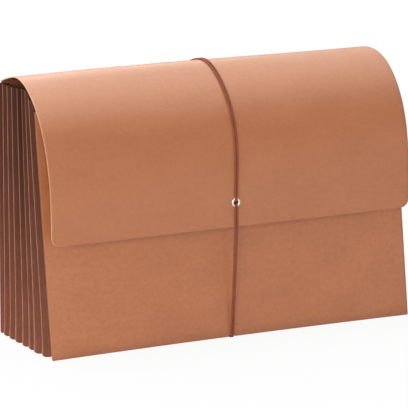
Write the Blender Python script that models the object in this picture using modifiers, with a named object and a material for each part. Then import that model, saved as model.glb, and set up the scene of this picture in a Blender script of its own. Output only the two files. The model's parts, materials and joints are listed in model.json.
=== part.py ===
"""Expanding file wallet: two stiff panels, a pleated gusset on three sides,
a flap that rolls over the top, an eyelet and a doubled elastic cord."""

import math

import bmesh
import bpy
from mathutils import Matrix, Vector

# Driving dimensions, metres. X is the width, the front faces -Y, Z is up.
WIDTH = 0.381
BACK_HEIGHT = 0.254
FRONT_HEIGHT = 0.229
DEPTH = 0.13335
LEAN = math.radians(5.48)
PANEL_T = 0.0008
LEAF_T = 0.00035
CLEAR = 0.0003

# Gusset: each pleat has two leaves. Every fold of a side runs through one apex
# above the wallet, so the sides fan out downwards.
PLEATS = 8
LEAVES = 2 * PLEATS
LEAF_WIDTH = 0.018
RIDGE_PROUD = 0.003
MIDDLE_GAP = 0.0021
FROM_BACK = 7
BOTTOM_LIFT = 0.006
MITRE_CLEAR = 0.0008
CORNER_RADIUS = 0.007
FOLD_TRIM = 0.00015
TOP_POWER = 2

# Flap: it leaves the crease at one angle above the horizontal and turns down along
# the roll, whose length goes with the spread. Angles in degrees, at shares of the roll.
FLAP_INSET = 0.001
FLAP_LENGTH = 0.2285
FLAP_T = 0.0008
ROLL_TO_DEPTH = 1.425
ROLL_SHARES = (0.0, 0.158, 0.316, 0.474, 0.632, 0.816, 1.0, 1.2)
ROLL_ANGLES = (16.0, 5.0, -19.0, -45.0, -62.0, -78.0, -91.0, -92.0)
SPINE_LENGTH = 0.013
BEND_SHARES = (0.395, 0.79)
FLAP_CORNER = 0.010
CREASE_RISE = 0.0012

# Eyelet and elastic.
EYELET_FROM_EDGE = 0.0238
EYELET_X = 0.0013
EYELET_R = 0.0045
EYELET_HOLE = 0.0024
EYELET_BARREL = 0.0030
CORD_R = 0.00085
CORD_OFF = 0.0011
PAIR = 0.0011
NOTCH_DEPTH = 0.0023
NOTCH_HALF = 0.0030
CORD_FOOT_X = -0.0030
CORD_DRIFT = 0.0057
CORD_PART = 0.0050

APEX_R = DEPTH / 2 / math.sin(LEAN)
APEX_Z = APEX_R * math.cos(LEAN)
LEAF_ANGLE = 2 * math.asin(LEAF_WIDTH / 2 / APEX_R)
GAP_ANGLE = MIDDLE_GAP / APEX_R
PITCH = (2 * LEAN - GAP_ANGLE) / LEAVES
MITRE_RISE = LEAF_WIDTH + MITRE_CLEAR
FLAP_WIDTH = WIDTH - 2 * FLAP_INSET
ROLL_LENGTH = ROLL_TO_DEPTH * DEPTH
BENDS = [0.0, SPINE_LENGTH] + [share * ROLL_LENGTH for share in BEND_SHARES] + [FLAP_LENGTH]
EYELET_STATION = FLAP_LENGTH - EYELET_FROM_EDGE


def clear_scene():
    for ob in list(bpy.data.objects):
        bpy.data.objects.remove(ob, do_unlink=True)


def collection(name):
    col = bpy.data.collections.new(name)
    bpy.context.scene.collection.children.link(col)
    return col


def material(name, colour, roughness, metallic=0.0):
    mat = bpy.data.materials.new(name)
    mat.use_nodes = True
    bsdf = mat.node_tree.nodes["Principled BSDF"]
    bsdf.inputs["Base Color"].default_value = (*colour, 1.0)
    bsdf.inputs["Roughness"].default_value = roughness
    bsdf.inputs["Metallic"].default_value = metallic
    mat.diffuse_color = (*colour, 1.0)
    return mat


def frame(origin, x_axis, y_axis):
    """A placement with the given origin and axes; z completes it."""
    x = Vector(x_axis).normalized()
    y = Vector(y_axis).normalized()
    z = x.cross(y)
    m = Matrix((x, y, z)).transposed().to_4x4()
    m.translation = Vector(origin)
    return m


def hinge(name, placement, parent=None):
    empty = bpy.data.objects.new(name, None)
    empty.empty_display_size = 0.01
    PARTS.objects.link(empty)
    if parent:
        empty.parent = parent
        empty.matrix_parent_inverse = parent.matrix_world.inverted()
    empty.matrix_world = placement
    bpy.context.view_layer.update()
    return empty


def place(ob, placement, parent):
    ob.parent = parent
    ob.matrix_parent_inverse = parent.matrix_world.inverted()
    ob.matrix_world = placement
    bpy.context.view_layer.update()


def plate(name, outlines, thickness, placement, mat, parent):
    """A flat sheet: closed outlines in its own plane, half the thickness each way."""
    cu = bpy.data.curves.new(name, "CURVE")
    cu.dimensions = "2D"
    cu.fill_mode = "BOTH"
    cu.extrude = thickness / 2
    for outline in outlines:
        sp = cu.splines.new("POLY")
        sp.points.add(len(outline) - 1)
        for pt, (u, v) in zip(sp.points, outline):
            pt.co = (u, v, 0.0, 1.0)
        sp.use_cyclic_u = True
    cu.materials.append(mat)
    ob = bpy.data.objects.new(name, cu)
    PARTS.objects.link(ob)
    place(ob, placement, parent)
    return ob


def cord(name, points, parent, mat):
    """A round cord along a line of points."""
    cu = bpy.data.curves.new(name, "CURVE")
    cu.dimensions = "3D"
    cu.bevel_depth = CORD_R
    cu.bevel_resolution = 2
    cu.use_fill_caps = True
    sp = cu.splines.new("POLY")
    sp.points.add(len(points) - 1)
    for pt, p in zip(sp.points, points):
        pt.co = (*p, 1.0)
    cu.materials.append(mat)
    ob = bpy.data.objects.new(name, cu)
    PARTS.objects.link(ob)
    place(ob, Matrix.Identity(4), parent)
    return ob


def to_mesh(ob):
    """The same object as a welded mesh, so that it can be cut."""
    deps = bpy.context.evaluated_depsgraph_get()
    me = bpy.data.meshes.new_from_object(ob.evaluated_get(deps))
    name, parent, placement = ob.name, ob.parent, ob.matrix_world.copy()
    bpy.data.objects.remove(ob, do_unlink=True)
    bm = bmesh.new()
    bm.from_mesh(me)
    bmesh.ops.remove_doubles(bm, verts=bm.verts, dist=1e-6)
    bmesh.ops.recalc_face_normals(bm, faces=bm.faces)
    bm.to_mesh(me)
    bm.free()
    new = bpy.data.objects.new(name, me)
    new.name = name
    PARTS.objects.link(new)
    place(new, placement, parent)
    return new


def cutter(ob):
    ob.hide_render = True
    ob.display_type = "WIRE"
    for col in list(ob.users_collection):
        col.objects.unlink(ob)
    CUTTERS.objects.link(ob)
    return ob


def cut(ob, tool):
    mod = ob.modifiers.new(tool.name, "BOOLEAN")
    mod.operation = "DIFFERENCE"
    mod.object = tool


def join(ob, tool):
    mod = ob.modifiers.new(tool.name, "BOOLEAN")
    mod.operation = "UNION"
    mod.object = tool


# Folds of the gusset


def fold_lean(j):
    """Angle of fold j from the mid-plane; folds 0 to FROM_BACK hang on the back."""
    if j <= FROM_BACK:
        return LEAN - j * PITCH
    return -LEAN + (LEAVES - j) * PITCH


def fold_lean_of_leaf(j, fold):
    """The two chains have their own copy of the fold where they meet."""
    if fold == FROM_BACK and j > FROM_BACK:
        return -LEAN + (LEAVES - fold) * PITCH
    return fold_lean(fold)


def is_ridge(fold):
    return fold % 2 == 0


def hinge_fold(j):
    """The fold that carries leaf j, and the one at its far edge."""
    return (j - 1, j) if j <= FROM_BACK else (j, j - 1)


def top_of(lean):
    """Length of a fold from the floor line to the gusset's top edge, which drops only near the front."""
    share = (lean + LEAN) / (2 * LEAN)
    return BACK_HEIGHT - 0.001 - (BACK_HEIGHT - FRONT_HEIGHT) * (1 - share) ** TOP_POWER


def side_fold(j, fold, side):
    """Direction of a side's fold, from the apex downwards."""
    a = fold_lean_of_leaf(j, fold)
    d = Vector((0.0, math.sin(a), -math.cos(a)))
    if is_ridge(fold):
        return d
    inward = math.acos(math.cos(LEAF_ANGLE) / math.cos(PITCH))
    return math.cos(inward) * d + math.sin(inward) * Vector((-side, 0.0, 0.0))


def corner(reach):
    """Points of the rounded, mitred outer corner of a leaf, as (in, up) pairs."""
    pts = []
    for k in range(4):
        t = math.radians(180 + 45 * k / 3)
        pts.append((CORNER_RADIUS * (1 + math.cos(t)), CORNER_RADIUS * (1 + math.sin(t))))
    pts.append((reach, MITRE_RISE))
    return pts


def side_leaf(j, side, parent):
    label = "left" if side < 0 else "right"
    near, far = hinge_fold(j)
    apex = Vector((side * (WIDTH / 2 + RIDGE_PROUD), 0.0, APEX_Z))
    d1 = side_fold(j, near, side)
    d2 = side_fold(j, far, side)
    out = d1.cross(d2).normalized()
    if out.x * side < 0:
        out = -out
    tilt = (LEAF_T / 2 + 0.00003) / (APEX_R - BACK_HEIGHT)
    e1 = (d1 + (tilt if is_ridge(near) else -tilt) * out).normalized()
    e2 = (d2 + (tilt if is_ridge(far) else -tilt) * out).normalized()
    across = (e2 - e2.dot(e1) * e1).normalized()
    spread = math.tan(math.acos(max(-1.0, min(1.0, e1.dot(e2)))))

    def near_edge(v):
        return FOLD_TRIM

    def far_edge(v):
        return (APEX_R - v) * spread - FOLD_TRIM

    if is_ridge(near):
        ridge, valley, step = near_edge, far_edge, 1.0
        ridge_fold, valley_fold = near, far
    else:
        ridge, valley, step = far_edge, near_edge, -1.0
        ridge_fold, valley_fold = far, near
    low = BOTTOM_LIFT + CLEAR
    outline = []
    pts = corner(None)
    for a, b in pts[:-1]:
        outline.append((ridge(low + b) + step * a, low + b))
    outline.append((valley(low + MITRE_RISE), low + MITRE_RISE))
    v = top_of(fold_lean_of_leaf(j, valley_fold))
    outline.append((valley(v), v))
    v = top_of(fold_lean_of_leaf(j, ridge_fold))
    outline.append((ridge(v), v))
    pivot = hinge(f"hinge_{label}_{j:02d}", frame(apex + d1 * APEX_R, across, -d1), parent)
    plate(f"{label}_leaf_{j:02d}", [outline], LEAF_T, frame(apex + e1 * APEX_R, across, -e1), GUSSET, pivot)
    return pivot


def bottom_point(j, fold):
    """A bottom fold in the side view, as (y, z)."""
    r = APEX_R - BOTTOM_LIFT
    a = fold_lean_of_leaf(j, fold)
    if not is_ridge(fold):
        half = r * math.sin(PITCH)
        r = r * math.cos(PITCH) - math.sqrt(LEAF_WIDTH ** 2 - half ** 2)
    return Vector((0.0, r * math.sin(a), APEX_Z - r * math.cos(a)))


def bottom_leaf(j, parent):
    near, far = hinge_fold(j)
    p1 = bottom_point(j, near)
    p2 = bottom_point(j, far)
    along = Vector((1.0, 0.0, 0.0))
    out = (p2 - p1).cross(along).normalized()
    if out.z > 0:
        out = -out
    off = LEAF_T / 2 + 0.00003
    q1 = p1 + (off if is_ridge(near) else -off) * out
    q2 = p2 + (off if is_ridge(far) else -off) * out
    reach = (q2 - q1).length
    across = (q2 - q1).normalized()
    if is_ridge(near):
        base, step = FOLD_TRIM, 1.0
    else:
        base, step = reach - FOLD_TRIM, -1.0
    end = WIDTH / 2 + RIDGE_PROUD - CLEAR
    pts = corner(reach - 2 * FOLD_TRIM)
    half = []
    for a, b in pts[:-1]:
        half.append((base + step * a, end - b))
    half.append((base + step * pts[-1][0], end - MITRE_RISE))
    outline = half + [(u, -v) for u, v in reversed(half)]
    pivot = hinge(f"hinge_bottom_{j:02d}", frame(p1, across, along), parent)
    plate(f"bottom_leaf_{j:02d}", [outline], LEAF_T, frame(q1, across, along), GUSSET, pivot)
    return pivot


# Panels


def panel_outline(height):
    r = 0.003
    x = WIDTH / 2
    pts = []
    for cx, cy, start in ((x - r, height - r, 0), (-x + r, height - r, 90), (-x + r, r, 180)):
        for k in range(4):
            t = math.radians(start + 30 * k)
            pts.append((cx + r * math.cos(t), cy + r * math.sin(t)))
    n0 = CORD_FOOT_X - NOTCH_HALF
    n1 = CORD_FOOT_X + NOTCH_HALF
    soft = 0.0012
    pts += [(n0, 0.0), (n0 + soft, NOTCH_DEPTH), (n1 - soft, NOTCH_DEPTH), (n1, 0.0)]
    for k in range(4):
        t = math.radians(270 + 30 * k)
        pts.append((x - r + r * math.cos(t), r + r * math.sin(t)))
    return pts


def panel_frame(sign):
    """Mid-surface of a panel; sign is +1 at the back and -1 at the front."""
    up = Vector((0.0, -sign * math.sin(LEAN), math.cos(LEAN)))
    out = Vector((0.0, sign * math.cos(LEAN), math.sin(LEAN)))
    foot = Vector((0.0, sign * DEPTH / 2, 0.0))
    return frame(foot + out * (PANEL_T / 2 + 0.0002), (1, 0, 0), up), up, out


def panel(name, sign, height, parent):
    """A board with the gusset's glued lips, which stand out past its sides."""
    placement, up, out = panel_frame(sign)
    board = to_mesh(plate(name, [panel_outline(height)], PANEL_T, placement, LEATHER, parent))
    sunk = (LEAF_T - PANEL_T) / 2 + 0.00005
    low = BOTTOM_LIFT + CORNER_RADIUS + 0.003
    high = height - 0.004
    for side in (-1, 1):
        x0 = side * (WIDTH / 2 - 0.004)
        x1 = side * (WIDTH / 2 + RIDGE_PROUD - CLEAR)
        outline = [(x0, low), (x1, low), (x1, high), (x0, high)]
        lip = frame(placement.translation + out * sunk, (1, 0, 0), up)
        join(board, cutter(to_mesh(plate(f"{name}_lip_{side}", [outline], LEAF_T, lip, LEATHER, ROOT))))
    return board


# Flap


def flap_angle(s):
    """Direction of the sheet at length s, in radians above the horizontal."""
    at = s / ROLL_LENGTH
    for k in range(len(ROLL_SHARES) - 1):
        low, high = ROLL_SHARES[k], ROLL_SHARES[k + 1]
        if at <= high:
            part = (at - low) / (high - low)
            return math.radians(ROLL_ANGLES[k] + part * (ROLL_ANGLES[k + 1] - ROLL_ANGLES[k]))
    return math.radians(ROLL_ANGLES[-1])


def crease_point():
    placement, up, out = panel_frame(1)
    top = placement.translation + up * (BACK_HEIGHT + CREASE_RISE)
    return Vector((0.0, top.y, top.z))


def flap_point(s):
    """Outer face of the flap at length s from the crease, and its outward normal."""
    steps = max(1, int(round(s / 0.0005)))
    p = crease_point()
    ds = s / steps
    for k in range(steps):
        a = flap_angle((k + 0.5) * ds)
        p = p + Vector((0.0, -math.cos(a), math.sin(a))) * ds
    a = flap_angle(s)
    return p, Vector((0.0, math.sin(a), math.cos(a)))


def flap_strip(name, s0, s1, parent, mat):
    """A curved strip of the flap, drawn in the side view and given its width."""
    n = max(2, int(round((s1 - s0) / 0.0075)))
    outer, inner = [], []
    for k in range(n + 1):
        p, out = flap_point(s0 + (s1 - s0) * k / n)
        outer.append((p.y, p.z))
        q = p - out * FLAP_T
        inner.append((q.y, q.z))
    placement = frame((0, 0, 0), (0, 1, 0), (0, 0, 1))
    return plate(name, [outer + inner[::-1]], FLAP_WIDTH, placement, mat, parent)


def corner_tool(side, tip, normal):
    """The waste outside one rounded bottom corner of the flap."""
    r = FLAP_CORNER
    x = FLAP_WIDTH / 2
    pts = [(x + 0.002, -0.002), (x + 0.002, r + 0.001), (x, r + 0.001)]
    for k in range(7):
        t = math.radians(-15 * k)
        pts.append((x - r + r * math.cos(t), r + r * math.sin(t)))
    pts += [(x - r - 0.001, 0.0), (x - r - 0.001, -0.002)]
    pts = [(side * u, v) for u, v in pts]
    up = Vector((0.0, -normal.z, normal.y)) * -1
    if up.z < 0:
        up = -up
    tool = plate(f"flap_corner_cutter_{side}", [pts], 0.02, frame(tip, (1, 0, 0), up), LEATHER, ROOT)
    return cutter(to_mesh(tool))


def eyelet(station, parent, mat):
    """A turned eyelet: barrel through the flap, a rolled lip on each face."""
    p, out = flap_point(station)
    face = CLEAR
    back = -FLAP_T - CLEAR
    prof = [
        (EYELET_HOLE, face + 0.0007),
        (EYELET_HOLE + 0.0006, face + 0.0009),
        (EYELET_R - 0.0006, face + 0.0007),
        (EYELET_R, face + 0.0002),
        (EYELET_R, face),
        (EYELET_BARREL, face),
        (EYELET_BARREL, back),
        (EYELET_R - 0.0003, back),
        (EYELET_R - 0.0003, back - 0.0004),
        (EYELET_HOLE, back - 0.0005),
    ]
    me = bpy.data.meshes.new("eyelet")
    n = len(prof)
    me.from_pydata([(r, 0.0, h) for r, h in prof], [(k, (k + 1) % n) for k in range(n)], [])
    me.materials.append(mat)
    ob = bpy.data.objects.new("eyelet", me)
    PARTS.objects.link(ob)
    screw = ob.modifiers.new("turn", "SCREW")
    screw.axis = "Z"
    screw.angle = 2 * math.pi
    screw.steps = 24
    screw.render_steps = 24
    screw.use_merge_vertices = True
    screw.merge_threshold = 1e-6
    placement = frame(p + Vector((EYELET_X, 0, 0)), (1, 0, 0), out.cross(Vector((1, 0, 0))))
    place(ob, placement, parent)
    return ob


def eyelet_hole(station):
    p, out = flap_point(station)
    bpy.ops.mesh.primitive_cylinder_add(vertices=24, radius=EYELET_BARREL + CLEAR, depth=0.006)
    ob = bpy.context.object
    ob.name = "eyelet_hole_cutter"
    place(ob, frame(p + Vector((EYELET_X, 0, 0)), (1, 0, 0), out.cross(Vector((1, 0, 0)))), ROOT)
    return cutter(ob)


# Elastic


def ease(t):
    t = max(0.0, min(1.0, t))
    return t * t * (3 - 2 * t)


def cord_middle(s):
    """Sideways drift of the doubled cord along the flap."""
    start = 0.58 * ROLL_LENGTH
    return EYELET_X + CORD_DRIFT * (1 - ease((s - start) / (EYELET_STATION - start)))


def cord_spread(s):
    """Half the distance between the two strands."""
    return PAIR + CORD_PART * (1 - ease(s / (0.31 * ROLL_LENGTH)))


def hairpin(left, right):
    """One cord that comes down the left strand and goes back up the right one."""
    return left + right[::-1]


def over_eyelet(side):
    """A strand that lifts over the eyelet's lip, sinks a little into its hole and leaves over the lip."""
    pts = []
    for along, height in ((-0.0040, 0.0025), (-0.0020, 0.0025), (0.0, 0.0019), (0.0020, 0.0025), (0.0040, 0.0025)):
        p, out = flap_point(EYELET_STATION + along)
        pts.append(p + out * height + Vector((EYELET_X + side * PAIR, 0, 0)))
    return pts


def upper_strand(side):
    """From the crease over the roll and the eyelet to the flap's edge."""
    stations = []
    last = EYELET_STATION - 0.0066
    n = 22
    for k in range(n + 1):
        stations.append(0.003 + (last - 0.003) * k / n)
    pts = []
    for s in stations:
        p, out = flap_point(s)
        pts.append(p + out * CORD_OFF + Vector((cord_middle(s) + side * cord_spread(s), 0, 0)))
    pts += over_eyelet(side)
    for s in (EYELET_STATION + 0.0066, FLAP_LENGTH - 0.006, FLAP_LENGTH - 0.0003):
        p, out = flap_point(s)
        pts.append(p + out * CORD_OFF + Vector((EYELET_X + side * PAIR, 0, 0)))
    return pts


def lower_strand(side):
    """From below the flap's edge to the front panel's foot, in the air."""
    p, out = flap_point(FLAP_LENGTH)
    edge = p + out * CORD_OFF + Vector((EYELET_X + side * PAIR, 0, 0))
    foot = front_foot(side)
    start = edge + (foot - edge).normalized() * (2 * CORD_R + CLEAR)
    return [start.lerp(foot, k / 3) for k in range(4)]


def front_foot(side):
    """Where a strand turns under the front panel's bottom edge."""
    placement, up, out = panel_frame(-1)
    p = placement.translation + out * (PANEL_T / 2 + CORD_OFF) + up * 0.0035
    return Vector((CORD_FOOT_X + side * PAIR, p.y, p.z))


def under_strand(side):
    """Under the front edge, along the floor and up behind the back edge."""
    front, up, out = panel_frame(-1)
    edge = front.translation + out * (PANEL_T / 2 + CORD_OFF)
    z = CORD_R + 0.0001
    x = CORD_FOOT_X + side * PAIR
    back, up_b, out_b = panel_frame(1)
    far = back.translation + out_b * (PANEL_T / 2 + CORD_OFF)
    return [
        Vector((x, edge.y + 0.0002, 0.0016)),
        Vector((x, edge.y + 0.0009, z)),
        Vector((x, edge.y * 0.5 + far.y * 0.5, z)),
        Vector((x, far.y - 0.0009, z)),
        Vector((x, far.y - 0.0002, 0.0016)),
    ]


def back_strand(side):
    placement, up, out = panel_frame(1)
    base = placement.translation + out * (PANEL_T / 2 + CORD_OFF)
    pts = []
    n = 8
    for k in range(n + 1):
        t = k / n
        h = 0.0035 + (BACK_HEIGHT - 0.0075) * t
        p = base + up * h
        mid = CORD_FOOT_X + (cord_middle(0) - CORD_FOOT_X) * ease(t)
        half = PAIR + CORD_PART * ease(t)
        pts.append(Vector((mid + side * half, p.y, p.z)))
    return pts


def knot(parent, mat):
    """The knot that holds the elastic behind the eyelet."""
    p, out = flap_point(EYELET_STATION)
    bpy.ops.mesh.primitive_uv_sphere_add(segments=16, ring_count=10, radius=0.0034)
    ob = bpy.context.object
    ob.name = "elastic_knot"
    for v in ob.data.vertices:
        v.co.x *= 1.25
        v.co.z *= 0.8
    ob.data.materials.append(mat)
    for col in list(ob.users_collection):
        col.objects.unlink(ob)
    PARTS.objects.link(ob)
    ob.data.shade_smooth()
    centre = p - out * (FLAP_T + CLEAR + 0.0005 + 0.0003 + 0.0034 * 0.8) + Vector((EYELET_X, 0, 0))
    place(ob, frame(centre, (1, 0, 0), out.cross(Vector((1, 0, 0)))), parent)
    return ob


clear_scene()
PARTS = collection("expanding_file_wallet")
CUTTERS = collection("cutters")
LEATHER = material("tan_board", (0.48, 0.20, 0.10), 0.55)
GUSSET = material("gusset_paper", (0.16, 0.06, 0.035), 0.7)
NICKEL = material("nickel", (0.75, 0.70, 0.66), 0.25, 1.0)
ELASTIC = material("elastic", (0.25, 0.09, 0.05), 0.85)

ROOT = hinge("wallet", Matrix.Identity(4))
SPREAD = hinge("expand_pivot", Matrix.Translation((0.0, 0.0, APEX_Z)), ROOT)

panel("back_panel", 1, BACK_HEIGHT, ROOT)
panel("front_panel", -1, FRONT_HEIGHT, SPREAD)

for build in (lambda j, up: side_leaf(j, -1, up), lambda j, up: side_leaf(j, 1, up), bottom_leaf):
    holder = ROOT
    for leaf in range(1, FROM_BACK + 1):
        holder = build(leaf, holder)
    holder = SPREAD
    for leaf in range(LEAVES, FROM_BACK, -1):
        holder = build(leaf, holder)

holder = ROOT
flap_names = ("flap_spine", "flap_roll_upper", "flap_roll_lower", "flap_front")
for k, strip_name in enumerate(flap_names):
    s_from, s_to = BENDS[k], BENDS[k + 1]
    at, normal = flap_point(s_from)
    if k == 1:
        at = at - normal * FLAP_T
    holder = hinge(f"hinge_{strip_name}", Matrix.Translation(at), holder)
    end = s_to - (CLEAR / 2 if k < 3 else 0.0)
    strip = flap_strip(strip_name, s_from + CLEAR / 2, end, holder, LEATHER)
front_strip = to_mesh(strip)
tip_point, tip_normal = flap_point(FLAP_LENGTH)
for hand in (-1, 1):
    cut(front_strip, corner_tool(hand, tip_point, tip_normal))
cut(front_strip, eyelet_hole(EYELET_STATION))
eyelet(EYELET_STATION, holder, NICKEL)
knot(holder, ELASTIC)

cord("elastic_upper", hairpin(upper_strand(-1), upper_strand(1)), holder, ELASTIC)
drop = hinge("hinge_elastic_lower", Matrix.Translation(front_foot(0)), SPREAD)
cord("elastic_lower", hairpin(lower_strand(-1)[::-1], lower_strand(1)[::-1]), drop, ELASTIC)
cord("elastic_under", hairpin(under_strand(-1), under_strand(1)), ROOT, ELASTIC)
cord("elastic_back", hairpin(back_strand(-1), back_strand(1)), ROOT, ELASTIC)

# The origin goes to the middle of the footprint of the whole wallet.
corners = []
for ob in PARTS.objects:
    if ob.type != "EMPTY":
        corners += [ob.matrix_world @ Vector(c) for c in ob.bound_box]
middle = [(min(c[i] for c in corners) + max(c[i] for c in corners)) / 2 for i in (0, 1)]
ROOT.location = (-middle[0], -middle[1], -min(c.z for c in corners))
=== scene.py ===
"""Looks of an expanding file wallet: boards, pleated gussets, a rolled flap, an eyelet and a cord."""

from __future__ import annotations

import json
import logging
import math
from dataclasses import dataclass, field
from enum import Enum

import bmesh
import bpy
import numpy as np
from mathutils import Matrix, Vector


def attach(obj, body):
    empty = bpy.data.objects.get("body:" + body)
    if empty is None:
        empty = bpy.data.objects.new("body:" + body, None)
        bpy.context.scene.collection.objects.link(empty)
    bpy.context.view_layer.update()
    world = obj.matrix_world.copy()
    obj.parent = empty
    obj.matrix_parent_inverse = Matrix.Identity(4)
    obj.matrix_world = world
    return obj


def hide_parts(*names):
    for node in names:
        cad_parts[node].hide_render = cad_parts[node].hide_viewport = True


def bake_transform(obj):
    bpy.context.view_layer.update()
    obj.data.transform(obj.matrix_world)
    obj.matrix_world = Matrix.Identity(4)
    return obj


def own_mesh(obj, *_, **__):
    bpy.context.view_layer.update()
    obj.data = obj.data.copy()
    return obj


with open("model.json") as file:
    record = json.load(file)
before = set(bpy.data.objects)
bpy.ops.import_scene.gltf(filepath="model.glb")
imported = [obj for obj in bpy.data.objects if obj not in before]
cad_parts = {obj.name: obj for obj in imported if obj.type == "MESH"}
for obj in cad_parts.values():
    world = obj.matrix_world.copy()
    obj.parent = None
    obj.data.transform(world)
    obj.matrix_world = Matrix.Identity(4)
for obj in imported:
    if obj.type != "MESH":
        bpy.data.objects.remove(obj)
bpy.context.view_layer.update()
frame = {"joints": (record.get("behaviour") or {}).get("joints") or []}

Array = np.ndarray
Colour = tuple[float, float, float]
Place = tuple[float, float, float]
Stretch = tuple[float, float]
LOG = logging.getLogger("wallet")
MILLIMETRE = 0.001
GRAIN = "Grain"
EVEN = (1.0, 1.0)
JOINTS = {joint["name"]: joint for joint in frame["joints"]}


class Edge(Enum):
    """What a border of a sheet is: a pale cut, a cut in the face's colour, or a seam with the next strip."""

    CUT = "cut"
    TINTED = "tinted"
    SEAM = "seam"

    @property
    def chamfer(self) -> float:
        """Share of the chamfer that the border has."""
        return 0.0 if self is Edge.SEAM else 1.0

    @property
    def slot(self) -> int:
        """Number of the rim's finish."""
        return 0 if self is Edge.TINTED else 1


class Run(Enum):
    """The three gussets, each with the sign of its place along X."""

    LEFT = -1
    BOTTOM = 0
    RIGHT = 1


class Bend(Enum):
    """Where the sheet and the cord on it turn: two bodies, and the first and last length from the crease."""

    CREASE = ("back", "flap_spine", -0.0022, 0.0030)
    TOP = ("flap_spine", "flap_roll_upper", 0.0068, 0.0192)
    ROLL = ("flap_roll_upper", "flap_roll_lower", 0.0202, 0.1205)
    FALL = ("flap_roll_lower", "flap_front", 0.1214, 0.1955)


def ease(share: Array | float) -> Array:
    """A smooth step, 3t^2 - 2t^3, held between 0 and 1.

    Args:
        share: Where on the step, 0 to 1.

    Returns:
        The height of the step there.
    """
    held = np.clip(share, 0.0, 1.0)
    return held * held * (3.0 - 2.0 * held)


def unit(vectors: Array) -> Array:
    """Vectors scaled to length 1 along their last axis.

    Args:
        vectors: Any array of vectors.

    Returns:
        An array of the same shape.
    """
    return vectors / np.linalg.norm(vectors, axis=-1, keepdims=True)


def knots(*spans: tuple[float, float, int]) -> Array:
    """Sorted stations made of several even spans.

    Args:
        spans: First value, last value and number of steps of each span.

    Returns:
        The stations, each once.
    """
    joined = np.concatenate([np.linspace(low, high, steps + 1) for low, high, steps in spans])
    return np.unique(np.round(joined, 7))


def grid_faces(rows: int, columns: int, start: int = 0, closed: bool = False) -> Array:
    """Quads over a grid of points that is stored row by row.

    Args:
        rows: Number of rows of points.
        columns: Number of points in a row.
        start: Index of the first point.
        closed: Whether the last column joins the first.

    Returns:
        One row of four point numbers for each quad.
    """
    number = np.arange(rows * columns).reshape(rows, columns) + start
    if closed:
        number = np.concatenate([number, number[:, :1]], axis=1)
    quads = [number[:-1, :-1], number[1:, :-1], number[1:, 1:], number[:-1, 1:]]
    return np.stack([q.ravel() for q in quads], axis=1)


@dataclass
class Skin:
    """Points and quads of one piece, gathered part by part."""

    points: list[Array] = field(default_factory=list)
    quads: list[Array] = field(default_factory=list)
    charts: list[Array] = field(default_factory=list)
    slots: list[Array] = field(default_factory=list)
    marks: list[Array] = field(default_factory=list)
    count: int = 0

    def add_points(self, points: Array, mark: Array | float = 0.0) -> int:
        """Adds points with their mark of wear and painted light and shade.

        Args:
            points: Any array of points.
            mark: Mark of each point, or of all: wear, painted highlight and painted shade.

        Returns:
            The number of the first new point.
        """
        flat = points.reshape(-1, 3)
        first = self.count
        self.points.append(flat)
        self.marks.append(np.broadcast_to(np.asarray(mark, float).reshape(-1), (len(flat),)))
        self.count += len(flat)
        return first

    def add_quads(self, quads: Array, chart: Array, slot: Array | int = 0) -> None:
        """Adds quads with their chart and finish.

        Args:
            quads: Point numbers, (quads, 4).
            chart: Chart of the quads' corners, (quads, 4, 2).
            slot: Finish number of each quad, or of all.
        """
        self.quads.append(quads)
        self.charts.append(chart)
        self.slots.append(np.broadcast_to(slot, (len(quads),)))

    def build(self, name: str, finishes: list[bpy.types.Material], sharp: float = 38.0) -> bpy.types.Object:
        """Makes the piece, smooth apart from edges sharper than an angle.

        Args:
            name: Name of the piece.
            finishes: Materials, in the order of the finish numbers.
            sharp: Angle of a sharp edge, in degrees.

        Returns:
            The new object, at the origin.
        """
        mesh = bpy.data.meshes.new(name)
        quads = np.concatenate(self.quads)
        mesh.from_pydata(np.concatenate(self.points).tolist(), [], quads.tolist())
        mesh.polygons.foreach_set("material_index", np.concatenate(self.slots).astype(np.int32))
        chart = mesh.uv_layers.new(name=GRAIN)
        chart.uv.foreach_set("vector", np.concatenate(self.charts).astype(np.float32).ravel())
        # The point mark holds wear, painted highlights and painted shade.
        wear = mesh.attributes.new("wear", "FLOAT", "POINT")
        wear.data.foreach_set("value", np.concatenate(self.marks).astype(np.float32))
        work = bmesh.new()
        work.from_mesh(mesh)
        bmesh.ops.recalc_face_normals(work, faces=work.faces)
        work.to_mesh(mesh)
        work.free()
        mesh.shade_smooth()
        mesh.set_sharp_from_angle(angle=math.radians(sharp))
        for finish in finishes:
            mesh.materials.append(finish)
        piece = bpy.data.objects.new(name, mesh)
        bpy.context.scene.collection.objects.link(piece)
        return piece


def corner_chart(quads: Array, chart: Array, start: int = 0) -> Array:
    """The chart of each corner, read from the chart of each point.

    Args:
        quads: Point numbers of the quads.
        chart: Chart of each point, (points, 2).
        start: Number of the first point that the chart holds.

    Returns:
        An array (quads, 4, 2).
    """
    return chart.reshape(-1, 2)[quads - start]


def border(rows: int, columns: int) -> tuple[Array, Array]:
    """The points round a grid, in order.

    Args:
        rows: Number of rows of points.
        columns: Number of points in a row.

    Returns:
        The row and the column of each border point.
    """
    up = np.arange(rows)
    across = np.arange(columns)
    row = np.concatenate([np.zeros(columns - 1), up[:-1], np.full(columns - 1, rows - 1), up[:0:-1]])
    column = np.concatenate([across[:-1], np.full(rows - 1, columns - 1), across[:0:-1], np.zeros(rows - 1)])
    return row.astype(int), column.astype(int)


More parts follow.
